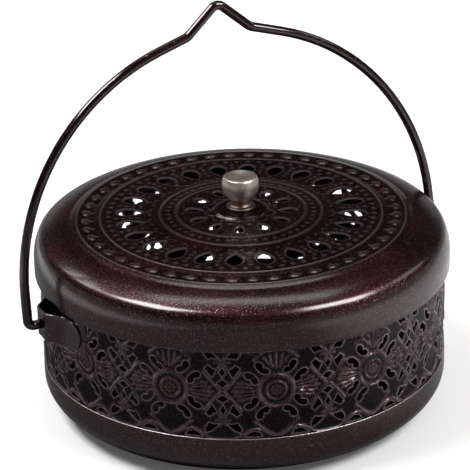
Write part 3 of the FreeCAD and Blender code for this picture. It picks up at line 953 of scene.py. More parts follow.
@dataclass
class BandTile:
    """The pattern of one medallion tile, in millimetres from the medallion's centre.

    Places are given for one quarter, and repeat about the tile's upright and level middle lines. A ring or
    groove is given by its radius, half width and height, a dot by its half width and height.
    """

    half_width: float = 18.9
    ring: Form = (6.2, 1.0, 0.68)
    ring_glow: Flat = (0.45, 0.06)
    inner_ring: Form = (3.5, 0.75, 0.5)
    inner_shine: float = 0.04
    groove: Form = (4.8, 0.7, 0.16)
    petal_count: int = 8
    petal_dot: Form = (1.65, 0.7, 0.42)
    middle_dot: Flat = (0.8, 0.42)
    flower_dot: Flat = (0.9, 0.4)
    flower_centre: Flat = (18.9, 11.3)
    flower_reach: Flat = (1.1, 2.5)
    ray_form: Form = (0.75, 0.42, 0.3)
    flower_rays: tuple[float, ...] = (0.0, 58.0, 122.0, 180.0, 238.0, 302.0)
    ridge_shine: float = 0.12
    kidney_centre: Flat = (4.95, 8.6)
    kidney: tuple[Flat, ...] = (
        (-0.15, 0.35), (-0.55, 1.0), (-1.3, 1.3), (-2.3, 1.2), (-3.05, 0.65), (-3.15, -0.1), (-2.5, -0.85),
        (-1.3, -1.4), (0.3, -1.55), (1.8, -1.3), (2.9, -0.65), (3.25, 0.25), (2.75, 1.15), (1.7, 1.45),
        (0.75, 1.15), (-0.15, 0.35))
    petal: tuple[Flat, ...] = ((12.64, 8.9), (14.16, 10.1), (15.3, 8.95), (16.76, 8.3), (15.16, 5.2))
    leaf: tuple[Flat, ...] = ((17.2, 12.9), (15.4, 13.0), (13.8, 12.5), (12.35, 14.9), (12.75, 16.6), (14.8, 15.7),
                              (16.6, 14.0))
    border: tuple[Flat, ...] = ((5.3, 18.0), (6.3, 16.3), (8.5, 15.8), (10.3, 16.9), (11.4, 18.1))
    diamond: tuple[Flat, ...] = ((16.73, 3.04), (18.9, 1.43), (21.07, 3.04), (18.9, 4.56))
    kite: tuple[Flat, ...] = ((17.77, 7.6), (18.9, 5.5), (20.03, 7.6), (18.9, 9.3))
    hole_gap: float = 0.5
    lip_width: float = 0.62
    lip_height: float = 0.17
    edge_shine: float = 0.34
    ridges: tuple[Ridge, ...] = (
        Ridge(((12.3, 7.4), (13.6, 5.7), (15.6, 3.1), (18.2, 0.2)), 0.7, 0.58, 0.45),
        Ridge(((7.7, 12.1), (5.6, 14.2), (2.8, 16.4), (0.0, 18.0)), 0.7, 0.55, 0.4),
        Ridge(((0.0, 18.1), (2.6, 17.2), (5.0, 15.5), (7.6, 14.6), (9.4, 15.1), (11.2, 16.3), (13.0, 17.8),
               (15.0, 18.5), (18.9, 18.6)), 0.6, 0.55, 0.6),
        Ridge(((12.0, 3.9), (13.4, 2.2), (14.3, 0.9)), 0.5, 0.25, 0.1),
        Ridge(((7.7, 0.0), (15.4, 0.0)), 0.6, 0.45, 0.3),
        Ridge(((8.2, 1.15), (11.0, 1.6), (14.6, 1.75)), 0.6, 0.45, 0.3),
        Ridge(((8.9, 2.2), (11.2, 3.1), (13.5, 3.5)), 0.6, 0.45, 0.3),
    )
    crown_ribs: tuple[Ridge, ...] = (
        Ridge(((0.0, 8.6), (0.0, 14.6)), 0.6, 0.42, 0.25, True),
        Ridge(((1.3, 9.0), (1.9, 11.6), (2.3, 13.9)), 0.6, 0.42, 0.25, True),
        Ridge(((2.4, 10.4), (3.6, 11.8), (4.4, 12.9)), 0.6, 0.42, 0.25, True),
    )

    def quarter_loops(self) -> list[np.ndarray]:
        """Draw the openings inside one quarter of the tile.

        Returns:
            Their outlines, the kidney beside each lobe first.
        """
        along, side = spaced_along(softened(table(self.kidney)), self.hole_gap)[:-1].T
        root = math.sqrt(2)
        kidney = np.column_stack([self.kidney_centre[0] + (along - side) / root,
                                  self.kidney_centre[1] + (along + side) / root])
        others = [spaced_loop(table(loop), self.hole_gap) for loop in (self.petal, self.leaf, self.border)]
        return [kidney, kidney[:, ::-1]] + others

    def between_loops(self) -> list[np.ndarray]:
        """The openings on the line between two tiles, in their upper half."""
        return [spaced_loop(table(loop), self.hole_gap) for loop in (self.diamond, self.kite)]

    def all_ridges(self) -> list[Ridge]:
        """Gather every ridge of a quarter, with the flower's rays.

        Returns:
            The ridges, those of the upper half only at the end.
        """
        x, y = self.flower_centre
        rays = [Ridge(tuple((x + reach * math.cos(turn), y + reach * math.sin(turn)) for reach in self.flower_reach),
                      *self.ray_form) for turn in map(math.radians, self.flower_rays)]
        return [*self.ridges, *rays, *self.crown_ribs]

    def relief(self, across: np.ndarray, up: np.ndarray) -> tuple[np.ndarray, np.ndarray]:
        """Measure the pressed height and the mask of painted highlight at places on the tile.

        Args:
            across: the distance from the medallion's centre along the band.
            up: the height over that centre.

        Returns:
            The height of the relief, and the share of painted highlight on rings, ridges and opening edges.
        """
        places = np.column_stack([np.abs(across), np.abs(up)])
        radius = np.hypot(across, up)
        ring, inner, groove = (top * bump_profile(np.abs(radius - middle), half_width)
                               for middle, half_width, top in (self.ring, self.inner_ring, self.groove))
        height = np.maximum(ring, inner) - groove
        # Painted highlights: the ring, the inner ring, the ridges and the openings' edges are brightened through the
        # rim mask.
        glow_width, glow = self.ring_glow
        bright = np.maximum(glow * bump_profile(np.abs(radius - self.ring[0]), glow_width),
                            self.inner_shine * inner / self.inner_ring[2])
        step = math.tau / self.petal_count
        offset = (np.arctan2(up, across) + step / 2) % step - step / 2
        petal_radius, *petal_dot = self.petal_dot
        petals = np.hypot(radius * np.cos(offset) - petal_radius, radius * np.sin(offset))
        flower = np.hypot(*(places - self.flower_centre).T)
        for distance, (half_width, top) in ((petals, petal_dot), (radius, self.middle_dot),
                                            (flower, self.flower_dot)):
            height = np.maximum(height, top * bump_profile(distance, half_width))
        for ridge in self.all_ridges():
            rise = ridge.rise(places) * ((up > 0) if ridge.upper_only else 1.0)
            height = np.maximum(height, rise)
            bright = np.maximum(bright, self.ridge_shine * ridge.bright * rise / ridge.height)
        for loop in self.quarter_loops() + self.between_loops():
            distance = loop_distance(places, loop)
            lip = 1.0 - (1.0 - ramp_profile(distance, self.lip_width)) ** 2
            height = np.maximum(height, self.lip_height * lip)
            bright = np.maximum(bright, self.edge_shine * ramp_profile(distance, EDGE_REACH))
        return height, bright


@dataclass
class PiercedBand:
    """The pierced and pressed strip rolled into a ring, with its seam under the right lug."""

    radius: float = 75.2
    sheet: float = 0.5
    foot: float = 13.25
    top: float = 66.45
    middle: float = 38.2
    tile_angle: float = 28.8
    seam_angle: float = 14.4
    first_angle: float = 23.3
    count: int = 12
    fine_gap: float = 0.6
    coarse_gap: float = 1.25
    margin_gap: float = 2.4
    edge_gap: float = 1.3
    edge_counts: tuple[int, int, int] = (4, 62, 6)
    least_shares: Flat = (0.56, 0.6)
    foot_share: float = 0.55
    ring_share: float = 0.85
    crest_share: float = 0.8
    clearance: float = 0.15
    pattern_half_height: float = 19.2
    crest_rings: tuple[float, ...] = (6.2, 5.65, 6.75, 3.5, 4.2, 4.8, 2.8)
    lug_height: float = 46.0
    seat_turn: Flat = (15.2, 16.2)
    seat_reach: Flat = (5.9, 6.6)
    joint: Form = (4.7, 0.45, 0.28)
    back_share: float = 0.4
    field_shade: float = 0.115
    tile: BandTile = field(default_factory=BandTile)

    @property
    def reaches(self) -> tuple[float, float, float, float]:
        """The levels of the foot, both edges of the pattern and the top, over the medallions' middle."""
        return (self.foot - self.middle, -self.pattern_half_height, self.pattern_half_height, self.top - self.middle)

    def mirrored(self, loop: np.ndarray, width: float, halves: tuple[float, ...] = (1.0, -1.0)) -> list[np.ndarray]:
        """Repeat a line of a quarter at both ends of a cell.

        Args:
            loop: the line.
            width: the cell's width.
            halves: 1 for the half above the middle, -1 for the half below.

        Returns:
            The copies.
        """
        copies = []
        for up in halves:
            copies += [loop * (1.0, up), np.column_stack([width - loop[:, 0], loop[:, 1] * up])]
        return copies

    def plan(self, width: float, joined: bool) -> FlatPlan:
        """Draw the flat plan of the cell from one medallion's middle line to the next one's.

        Args:
            width: the cell's width.
            joined: whether the cell's middle carries the openings between two tiles.

        Returns:
            The plan.
        """
        low, start, end, high = self.reaches
        across = np.linspace(0.0, width, round(width / self.edge_gap) + 1)
        below, beside, above = self.edge_counts
        up = np.concatenate([np.linspace(low, start, below)[:-1], np.linspace(start, end, beside),
                             np.linspace(end, high, above)[1:]])
        outline = np.vstack([
            np.column_stack([across[:-1], np.full(len(across) - 1, low)]),
            np.column_stack([np.full(len(up) - 1, width), up[:-1]]),
            np.column_stack([across[:0:-1], np.full(len(across) - 1, high)]),
            np.column_stack([np.zeros(len(up) - 1), up[:0:-1]])])
        holes = [copy for loop in self.tile.quarter_loops() for copy in self.mirrored(loop, width)]
        if joined:
            holes += [loop * (1.0, side) for loop in self.tile.between_loops() for side in (1.0, -1.0)]
        taken = np.vstack([outline] + holes)
        margin = [hex_grid((0.0, low), (width, start), self.margin_gap),
                  hex_grid((0.0, end), (width, high), self.margin_gap)]
        skins = []
        for gap, share, wanted in zip((self.fine_gap, self.coarse_gap), self.least_shares,
                                      (self.feature_points(width, holes), [])):
            points = kept_apart(taken, wanted + [hex_grid((0.0, start), (width, end), gap)] + margin, gap * share)
            within = (points > (self.clearance, low + self.clearance)) & (
                points < (width - self.clearance, high - self.clearance))
            skins.append(points[within.all(axis=1) & outside_all(points, holes)])
        return FlatPlan([outline] + holes, *skins)

    def feature_points(self, width: float, holes: list[np.ndarray]) -> list[np.ndarray]:
        """Gather points on the crests and feet of the relief.

        Args:
            width: the cell's width.
            holes: the openings' outlines.

        Returns:
            Groups of points, the most wanted first.
        """
        groups = [loop + outward_normals(loop) * self.tile.lip_width * self.foot_share for loop in holes]
        for radius in self.crest_rings:
            ring = circle(radius, self.fine_gap * self.ring_share)
            groups += [ring[ring[:, 0] > 0], ring[ring[:, 0] < 0] + (width, 0.0)]
        for ridge in self.tile.all_ridges():
            crest = spaced_along(table(ridge.line), self.fine_gap * self.crest_share)
            groups += self.mirrored(crest, width, (1.0,) if ridge.upper_only else (1.0, -1.0))
        return groups

    def seat_mask(self, azimuth: np.ndarray, level: np.ndarray) -> np.ndarray:
        """Find where a lug lies on the band and the relief is pressed flat.

        Args:
            azimuth: the places' azimuths in radians.
            level: their heights.

        Returns:
            One under a lug, zero elsewhere.
        """
        turn = np.abs((np.degrees(azimuth) + 90.0) % 180.0 - 90.0)
        return (1.0 - smooth_step(*self.seat_turn, turn)) * (
            1.0 - smooth_step(*self.seat_reach, np.abs(level - self.lug_height)))

    def place(self, flat: Skin, width: float, start_angle: float, front: bool) -> tuple[Skin, np.ndarray, np.ndarray]:
        """Press one flat skin of a cell and bend it on the ring.

        Args:
            flat: the flat skin.
            width: the cell's width. Only the cell with the seam is wider than a tile.
            start_angle: the azimuth of its first medallion, in degrees.
            front: whether it is the front skin.

        Returns:
            The placed skin, its share of painted highlight, and its pressed height, lowered away from the lug seats so
            that the plain field takes the hollows' painted shade.
        """
        along, up = flat.points.T
        across = np.where(along <= width / 2, along, along - width)
        height, bright = self.tile.relief(across, up)
        if width > 2 * self.tile.half_width + 1.0:
            plain = smooth_step(self.tile.half_width, self.tile.half_width + 0.5, np.abs(across))
            offset, half_width, depth = self.joint
            joint = bump_profile(np.abs(along - width / 2 - offset), half_width)
            height = height * (1.0 - plain) - depth * joint
            bright = bright * (1.0 - plain)
        azimuth = math.radians(start_angle) + along / self.radius
        level = up + self.middle
        seat = self.seat_mask(azimuth, level)
        height, bright = height * (1.0 - seat), bright * (1.0 - seat)
        reach = self.radius + height if front else (
            self.radius - self.sheet + np.maximum(height, 0) * self.back_share)
        points = np.column_stack([polar(reach, azimuth), level])
        # Painted shade: lowering the rise mask darkens the band's plain field towards the hollow colour, except under
        # the lugs.
        return Skin(points, flat.faces), bright, height - self.field_shade * (1.0 - seat)

    def build(self, material: bpy.types.Material) -> None:
        """Roll the band from its cells.

        Args:
            material: its finish.
        """
        stack = SheetStack()
        for cells, angle, joined in ((range(self.count - 1), self.tile_angle, True),
                                     (range(self.count - 1, self.count), self.tile_angle + self.seam_angle, False)):
            width = math.radians(angle) * self.radius
            plan = self.plan(width, joined)
            front, back = plan.skin(plan.front_points), plan.skin(plan.back_points)
            for index in cells:
                start_angle = self.first_angle + self.tile_angle * index
                placed, rim, rise = self.place(front, width, start_angle, True)
                stack.add(placed, self.place(back, width, start_angle, False)[0], plan.shared, rim, rise)
        piece = stack.solid().as_object("band_relief", 50.0)
        dress(piece, material, Slot.PAINT, Body.BASE, "pierced_band")


@dataclass(frozen=True)
class Vents:
    """A ring of drop-shaped vents with their points towards the centre."""

    phase: float
    count: int
    tip: float
    length: float
    width: float


@dataclass
class LidOrnament:
    """The pressed ornament and the vents of the lid's plate, in polar places round its centre.

    A ring of beads, dots or curls starts with its radius, its count and its azimuth in degrees. A dot ends with
    its size and height, a curl with its length. A round line starts with its radius. A form is given by its half
    width, height and shine, its share of painted highlight.
    """

    outer: Vents = Vents(1.7, 24, 36.4, 10.1, 6.0)
    inner: Vents = Vents(2.6, 12, 14.1, 6.5, 3.4)
    drop_side: tuple[Flat, ...] = ((0.0, 0.0), (0.06, 0.16), (0.17, 0.46), (0.33, 0.80), (0.52, 1.02), (0.72, 1.02),
                                   (0.9, 0.72), (1.0, 0.3), (1.01, 0.0))
    beads: tuple[float, int, float] = (57.7, 48, 1.7)
    bead_size: Flat = (1.4, 2.6)
    dots: tuple[tuple[float, int, float, float, float], ...] = (
        (55.6, 48, 1.7, 0.8, 0.2), (49.3, 72, 1.7, 0.95, 0.22), (27.0, 48, 1.7, 0.75, 0.16),
        (38.2, 24, 9.2, 0.75, 0.16), (40.9, 24, 9.2, 0.8, 0.16), (43.6, 24, 9.2, 0.85, 0.18),
        (46.3, 24, 9.2, 0.85, 0.2), (34.0, 48, 5.45, 0.65, 0.14), (21.6, 24, 10.1, 0.6, 0.14))
    dot_shine: float = 0.1
    lines: tuple[tuple[float, float, float, float], ...] = (
        (30.0, 0.75, 0.36, 0.1), (24.0, 0.75, 0.36, 0.1), (52.3, 0.6, 0.22, 0.16), (61.2, 0.6, 0.22, 0.16))
    curls: tuple[tuple[float, int, float, float], ...] = ((34.8, 24, 1.7, 2.6 / 1.2), (21.2, 12, 2.6, 1.0))
    curl_form: Form = (0.6, 0.24, 0.08)
    bead_form: Form = (1.0, 0.6, 0.05)
    scallop_low: float = 10.9
    scallop_rise: float = 2.3
    scallop_form: Form = (0.6, 0.3, 0.08)
    lip_offset: float = 0.4
    lip_form: Form = (0.5, 0.16, 0.03)
    rim_form: Form = (EDGE_REACH, 0.1, 0.36)
    hole_gap: float = 0.55
    hole_bulge: float = 0.01

    def drop(self, vents: Vents, angle: float) -> np.ndarray:
        """Draw a vent in the lid's plan. Its sides bulge a little, so that no three points lie on a line.

        Args:
            vents: the ring that it belongs to.
            angle: how far it lies from the ring's first vent, in degrees.

        Returns:
            The outline.
        """
        side = table(self.drop_side)
        line = np.vstack([side, side[-2::-1] * (1.0, -1.0)]) * (vents.length, vents.width / 2) + (vents.tip, 0.0)
        loop = spaced_along(softened(line), self.hole_gap)[:-1]
        outward = loop - loop.mean(axis=0)
        loop = loop + self.hole_bulge * outward / np.hypot(*outward.T)[:, None]
        return spun(loop, math.radians(vents.phase + angle))

    def relief(self, places: np.ndarray, holes: list[np.ndarray]) -> tuple[np.ndarray, np.ndarray]:
        """Measure the pressed height and the mask of painted highlight at places on the plate.

        Args:
            places: the places in plan.
            holes: the outlines of the vents near them.

        Returns:
            The height of the relief, and the share of painted highlight.
        """
        radius, turn = np.hypot(*places.T), np.arctan2(places[:, 1], places[:, 0])
        height, bright = np.zeros(len(places)), np.zeros(len(places))

        def press(profile: Callable, distance: np.ndarray, half_width: float, top: float, shine: float) -> None:
            """Press one more form into the plate, with its share of painted highlight."""
            nonlocal height, bright
            rise = profile(distance, half_width)
            height, bright = np.maximum(height, rise * top), np.maximum(bright, rise * shine)

        def from_dot(ring: float, count: int, phase: float, across: float = 1.0, along: float = 1.0) -> np.ndarray:
            """How far each place lies from the nearest of a ring of dots, in the dots' sizes."""
            step = math.tau / count
            offset = (turn - math.radians(phase) + step / 2) % step - step / 2
            return np.hypot((radius * np.cos(offset) - ring) / across, radius * np.sin(offset) / along)

        press(dome_profile, from_dot(*self.beads, *self.bead_size), *self.bead_form)
        for *ring, size, top in self.dots:
            press(dome_profile, from_dot(*ring), size, top, self.dot_shine)
        for ring, *form in self.lines:
            press(bump_profile, np.abs(radius - ring), *form)
        wave = self.scallop_low + self.scallop_rise * np.abs(
            np.sin(self.inner.count / 2 * (turn - math.radians(self.inner.phase))))
        press(bump_profile, np.abs(radius - wave), *self.scallop_form)
        for *ring, length in self.curls:
            press(bump_profile, from_dot(*ring, length), *self.curl_form)
        # Painted highlights on the vents' lips and cut edges.
        for loop in holes:
            distance = loop_distance(places, loop)
            press(bump_profile, np.abs(distance - self.lip_offset), *self.lip_form)
            press(ramp_profile, distance, *self.rim_form)
        return height, bright


@dataclass
class LidShell:
    """The pressed lid: wall, rounded shoulder, stepped and embossed plate with its vents."""

    radius: float = 77.5
    edge: float = 54.26
    wall_height: float = 9.2
    shoulder_height: float = 17.8
    plate_radius: float = 64.15
    sheet: float = 0.45
    screw_hole: float = 2.3
    corner_shares: tuple[Flat, ...] = ((0.259, 0.547), (0.952, 0.937))
    shoulder_bends: tuple[float, ...] = (15.8, 5.2, 25.0)
    plate_line: tuple[Flat, ...] = ((64.15, 17.8), (61.9, 18.7), (55.0, 18.5), (53.3, 19.0), (34.5, 19.0),
                                    (22.5, 20.1), (10.7, 20.1), (9.5, 21.3), (2.3, 21.3))
    plate_bends: tuple[float, ...] = (0.9, 1.0, 1.2, 9.0, 9.0, 0.8, 0.8)
    wall_shares: Flat = (0.66, 0.33)
    lip: float = 0.3
    lip_shares: tuple[float, ...] = (0.2, 0.5, 0.8)
    lip_shine: float = 0.35
    sectors: int = 12
    sector_start: float = -5.8
    arc_steps: int = 40
    boss_radii: tuple[float, float, int] = (2.3, 9.4, 6)
    fine_from: float = 10.0
    fine_gap: float = 0.55
    coarse_from: float = 4.0
    coarse_gap: float = 1.9
    least_gaps: Flat = (0.3, 1.0)
    vent_feet: tuple[float, ...] = (0.32, 0.75, 1.2)
    weld_grid: float = 0.002
    tone_cap: float = 0.11
    plate_shade: float = 0.06
    least_rise: float = 0.004
    ornament: LidOrnament = field(default_factory=LidOrnament)

    def plate_levels(self, points: np.ndarray) -> np.ndarray:
        """Read the heights of the plain plate's top.

        Args:
            points: the places in plan.

        Returns:
            The height at each place, over the lid's edge.
        """
        corners = [Vector((radius, height, 0.0)) for radius, height in self.plate_line]
        line = rounded_line(corners, self.plate_bends, 4.0)[::-1]
        return np.interp(np.hypot(*points.T), [point.x for point in line], [point.y for point in line])

    def shoulder_profile(self) -> list[Vector]:
        """Draw the wall and shoulder's outer line.

        Returns:
            Its points, from the plate down to the lower edge.
        """
        rise = self.shoulder_height - self.wall_height
        tops = [Vector((self.radius - rise * inward, self.wall_height + rise * upward, 0.0))
                for inward, upward in self.corner_shares]
        corners = [Vector((self.radius, 0.0, 0.0)), Vector((self.radius, self.wall_height, 0.0)), *tops,
                   Vector((self.plate_radius, self.shoulder_height, 0.0))]
        line = rounded_line(corners, self.shoulder_bends, 3.0)[::-1]
        levels = [line[-2].y * share for share in self.wall_shares] + [self.lip]
        return line[:-1] + [Vector((self.radius, level, 0.0)) for level in levels]

    def plan(self) -> FlatPlan:
        """Draw the plan of one sector of the plate.

        Returns:
            The plan.
        """
        start, step = math.radians(self.sector_start), math.tau / self.sectors
        radii = np.concatenate([np.linspace(*self.boss_radii),
                                np.arange(self.fine_from, self.plate_radius - 0.3, self.fine_gap), [self.plate_radius]])
        turns = np.linspace(start, start + step, self.arc_steps + 1)
        outline = np.vstack([polar(radii[:-1], start), polar(self.plate_radius, turns)[:-1],
                             polar(radii[:0:-1], start + step), polar(self.screw_hole, turns[::-10])[:-1]])
        form = self.ornament
        holes = [form.drop(form.outer, 0.0), form.drop(form.outer, 360.0 / form.outer.count),
                 form.drop(form.inner, 0.0)]
        feet = [loop + outward_normals(loop) * reach for loop in holes for reach in self.vent_feet]
        fine = self.rings(radii[1:-1], self.fine_gap)
        coarse = self.rings(np.arange(self.coarse_from, self.plate_radius - 0.8, self.coarse_gap), 2.0)
        taken = np.vstack([outline] + holes)
        skins = [kept_apart(taken, wanted, gap) for wanted, gap in zip((feet + [fine], [coarse]), self.least_gaps)]
        return FlatPlan([outline] + holes, *(points[outside_all(points, holes)] for points in skins))

    def rings(self, radii: np.ndarray, gap: float) -> np.ndarray:
        """Fill a sector with staggered rings of points, clear of its straight edges.

        Args:
            radii: the rings' radii.
            gap: about how far apart the points lie.

        Returns:
            The points.
        """
        start, step = math.radians(self.sector_start), math.tau / self.sectors
        rows = []
        for number, radius in enumerate(radii):
            count = max(1, round(radius * step / gap))
            rows.append(polar(radius, start + step * ((np.arange(count) + STAGGER[number % 2]) / count)))
        return np.vstack(rows)

    def skirt(self) -> tuple[np.ndarray, list[Face]]:
        """Turn the shoulder and wall, both skins and the lower edge.

        Returns:
            The points and quads of rings that close on the plate.
        """
        outer = self.shoulder_profile()
        inner = [outer[0] - Vector((0.0, self.sheet, 0.0))]
        for before, point, after in zip(outer, outer[1:], outer[2:] + outer[-1:]):
            along = (after - before).normalized()
            inner.append(point - Vector((-along.y, along.x, 0.0)) * self.sheet)
        lip = [Vector((self.radius - self.sheet * share, self.lip - self.lip * math.sin(math.pi * share), 0.0))
               for share in self.lip_shares]
        line = outer + lip + inner[::-1]
        count = self.sectors * self.arc_steps
        turns = math.radians(self.sector_start) + math.tau * np.arange(count) / count
        rings = [np.column_stack([polar(point.x, turns), np.full(count, self.edge + point.y)]) for point in line]
        return np.vstack(rings), ring_quads(len(line), count)

    def build(self, material: bpy.types.Material) -> None:
        """Press the lid from its plate's sectors and its skirt.

        Args:
            material: its finish.
        """
        plan = self.plan()
        front, back = plan.skin(plan.front_points), plan.skin(plan.back_points)
        rise, rim = self.ornament.relief(front.points, plan.outlines[1:])
        reach = np.hypot(*front.points.T)
        rise = rise * (1.0 - smooth_step(self.plate_radius - 1.6, self.plate_radius - 0.4, reach))
        rise[rise < self.least_rise] = 0.0
        # The ornament's painted highlight is capped, and the plate inside its outer edge is pulled towards the hollows'
        # painted shade.
        tone = np.minimum(rise, self.tone_cap) - self.plate_shade * (
            1.0 - smooth_step(self.plate_radius - 3.0, self.plate_radius, reach))
        front_height = self.plate_levels(front.points) + rise + self.edge
        back_height = self.plate_levels(back.points) - self.sheet + self.edge
        stack = SheetStack()
        for turn in (math.tau * index / self.sectors for index in range(self.sectors)):
            placed = [Skin(np.column_stack([spun(flat.points, turn), height]), flat.faces)
                      for flat, height in ((front, front_height), (back, back_height))]
            stack.add(*placed, plan.shared, rim, tone)
        piece = self.joined(stack.solid()).as_object("lid_relief", 40.0)
        dress(piece, material, Slot.PAINT, Body.LID, "lid_shell")

    def joined(self, plate: Solid) -> Solid:
        """Weld the plate, without the wall at its outer border, to the skirt.

        Args:
            plate: the closed plate.

        Returns:
            The whole lid.
        """
        at_border = np.hypot(plate.points[:, 0], plate.points[:, 1]) > self.plate_radius - 0.01
        faces = [face for face in plate.faces if len(face) == 3 or not all(at_border[list(face)])]
        points, skirt_faces = self.skirt()
        faces += [tuple(number + len(plate.points) for number in face) for face in skirt_faces]
        everything = np.vstack([plate.points, points])
        # Painted highlight: the skirt's lower lip takes the rim colour.
        rim = np.concatenate([plate.rim, self.lip_shine * (points[:, 2] < self.edge + self.lip - 0.01)])
        rise = np.concatenate([plate.rise, np.zeros(len(points))])
        first, number = same_places(everything, self.weld_grid)
        return Solid(everything[first], [tuple(number[list(face)].tolist()) for face in faces],
                     rim[first], rise[first])


@dataclass
class Knob:
    """The cast knob: a flared foot, a neck and a ball with a dished top."""

    seat: float = 75.56
    foot_radius: float = 5.35
    foot_thickness: float = 1.2
    foot_round: float = 0.5
    neck_radius: float = 3.35
    ball_radius: float = 6.85
    rim_radius: float = 6.0
    rim_round: float = 0.35
    height: float = 12.6
    dish: float = 0.7
    dish_shares: tuple[float, ...] = (1.0, 0.9, 0.75, 0.6, 0.45, 0.3, 0.15, 0.0)
    darker_levels: Flat = (2.0, 5.4)
    segments: int = 96

    def profile(self) -> list[Flat]:
        """Draw the knob's turned line.

        Returns:
            Its points, from the middle of its seat to the middle of its dish.
        """
        middle = self.height - math.sqrt(self.ball_radius ** 2 - self.rim_radius ** 2)
        neck_top = middle - math.sqrt(self.ball_radius ** 2 - self.neck_radius ** 2)
        flat, half = self.foot_radius - self.foot_round, self.foot_thickness / 2
        foot = [(0.0, 0.0), (flat, 0.0)]
        foot += [(flat + self.foot_round * math.sin(turn), half - half * math.cos(turn))
                 for turn in np.linspace(0.3, math.pi, 9)]
        span = flat - self.neck_radius
        cove = [(flat - span * math.sin(turn),
                 self.foot_thickness + (neck_top - self.foot_thickness) * (1 - math.cos(turn)))
                for turn in np.linspace(0.15, math.pi / 2, 12)]
        low = -math.acos(self.neck_radius / self.ball_radius)
        high = math.acos(self.rim_radius / self.ball_radius)
        ball = [(self.ball_radius * math.cos(turn), middle + self.ball_radius * math.sin(turn))
                for turn in np.linspace(low + 0.05, high - 0.06, 30)]
        edge = [(self.rim_radius - 0.05, self.height - 0.08), (self.rim_radius - 0.2, self.height - 0.01)]
        dish = [((self.rim_radius - self.rim_round) * share, self.height - self.dish * (1 - share ** 2))
                for share in self.dish_shares]
        return foot + cove + ball + edge + dish

    def build(self, material: bpy.types.Material) -> None:
        """Turn the knob on its seat.

        Args:
            material: its finish.
        """
        solid = lathe([(radius, height + self.seat) for radius, height in self.profile()], self.segments)
        # The foot and neck, below the ball, turn to the bronze's darker masked colour.
        solid.rise = 1.0 - smooth_step(*self.darker_levels, solid.points[:, 2] - self.seat)
        dress(solid.as_object("knob_cast"), material, Slot.BRONZE, Body.LID, "knob")


@dataclass
class Lug:
    """A bent strap with round ends whose bulged nose carries one end of the handle."""

    name: str
    node: str
    side_angle: float
    height: float = 11.0
    sheet: float = 0.8
    seat_radius: float = 75.3
    nose_radius: float = 80.8
    nose_half_width: float = 4.4
    root_angle: float = 7.4
    end_angle: float = 14.4
    pivot: float = 46.0
    hole_radius: float = 1.85
    bends: tuple[float, ...] = (1.5, 1.6)
    edge_gap: float = 0.7
    hole_gap: float = 0.5
    face_gap: float = 0.65
    least_gap: float = 0.2
    slope_step: float = 0.3
    round_width: float = 0.25
    edge_round: float = 0.22
    edge_shine: float = 0.4
    tone: float = 0.15

    def inner_line(self) -> np.ndarray:
        """Draw the strap's inner line in plan.

        Returns:
            Its points, from the strap's lower end round the nose to its upper end.
        """
        inner, half = self.nose_radius - self.sheet, self.nose_half_width - self.sheet

        def on_seat(angle: float) -> Vector:
            """A point of the seat's circle."""
            turn = math.radians(angle)
            return Vector((self.seat_radius * math.cos(turn), self.seat_radius * math.sin(turn), 0.0))

        seat = [on_seat(angle) for angle in np.linspace(self.end_angle, self.root_angle + 0.8, 9)]
        corners = [seat[-1], on_seat(self.root_angle), Vector((inner, half, 0.0)), Vector((inner, 0.0, 0.0))]
        side = table((point.x, point.y) for point in seat[:-1] + rounded_line(corners, self.bends, 8.0))
        return np.vstack([side, side[-2::-1] * (1.0, -1.0)])[::-1]

    def build(self, material: bpy.types.Material) -> None:
        """Bend the strap from its flat plan.

        Args:
            material: its finish.
        """
        line = self.inner_line()
        lengths = lengths_along(line)
        lengths -= lengths[-1] / 2
        reach, half = lengths[-1], self.height / 2
        cap = polar(half, np.linspace(-math.pi / 2, math.pi / 2, 24)) + (reach - half, 0.0)
        outline = spaced_loop(np.vstack([cap, -cap]), self.edge_gap)
        hole = circle(self.hole_radius, self.hole_gap)[::-1]
        wanted = [circle(self.hole_radius + EDGE_REACH, self.hole_gap),
                  outline * (1 - self.round_width / reach, 1 - self.round_width / half),
                  hex_grid((-reach, -half), (reach, half), self.face_gap)]
        loose = kept_apart(np.vstack([outline, hole]), wanted, self.least_gap)
        loose = loose[inside(loose, outline) & outside_all(loose, [hole])]
        plan = FlatPlan([outline, hole], loose, loose)
        flat = plan.skin(loose)
        along, up = flat.points.T
        edge = np.minimum(loop_distance(flat.points, outline), loop_distance(flat.points, hole))
        soft = self.edge_round * ramp_profile(edge, self.round_width) ** 2
        step = self.slope_step
        ahead = places_at(line, lengths, along + step) - places_at(line, lengths, along - step)
        ahead /= np.hypot(*ahead.T)[:, None]
        normal = np.column_stack([ahead[:, 1], -ahead[:, 0]])
        skins = []
        for offset in (self.sheet - soft, soft * 0.5):
            places = spun(places_at(line, lengths, along) + normal * offset[:, None], math.radians(self.side_angle))
            skins.append(Skin(np.column_stack([places, up + self.pivot]), flat.faces))
        stack = SheetStack()
        # Painted highlight along the strap's edges and round its hole; the tone sets one even colour over the whole
        # strap.
        stack.add(*skins, plan.shared, self.edge_shine * ramp_profile(edge, EDGE_REACH),
                  np.full(len(along), self.tone))
        piece = stack.solid().as_object(self.name, 50.0)
        dress(piece, material, Slot.PAINT, Body.BASE, self.node)


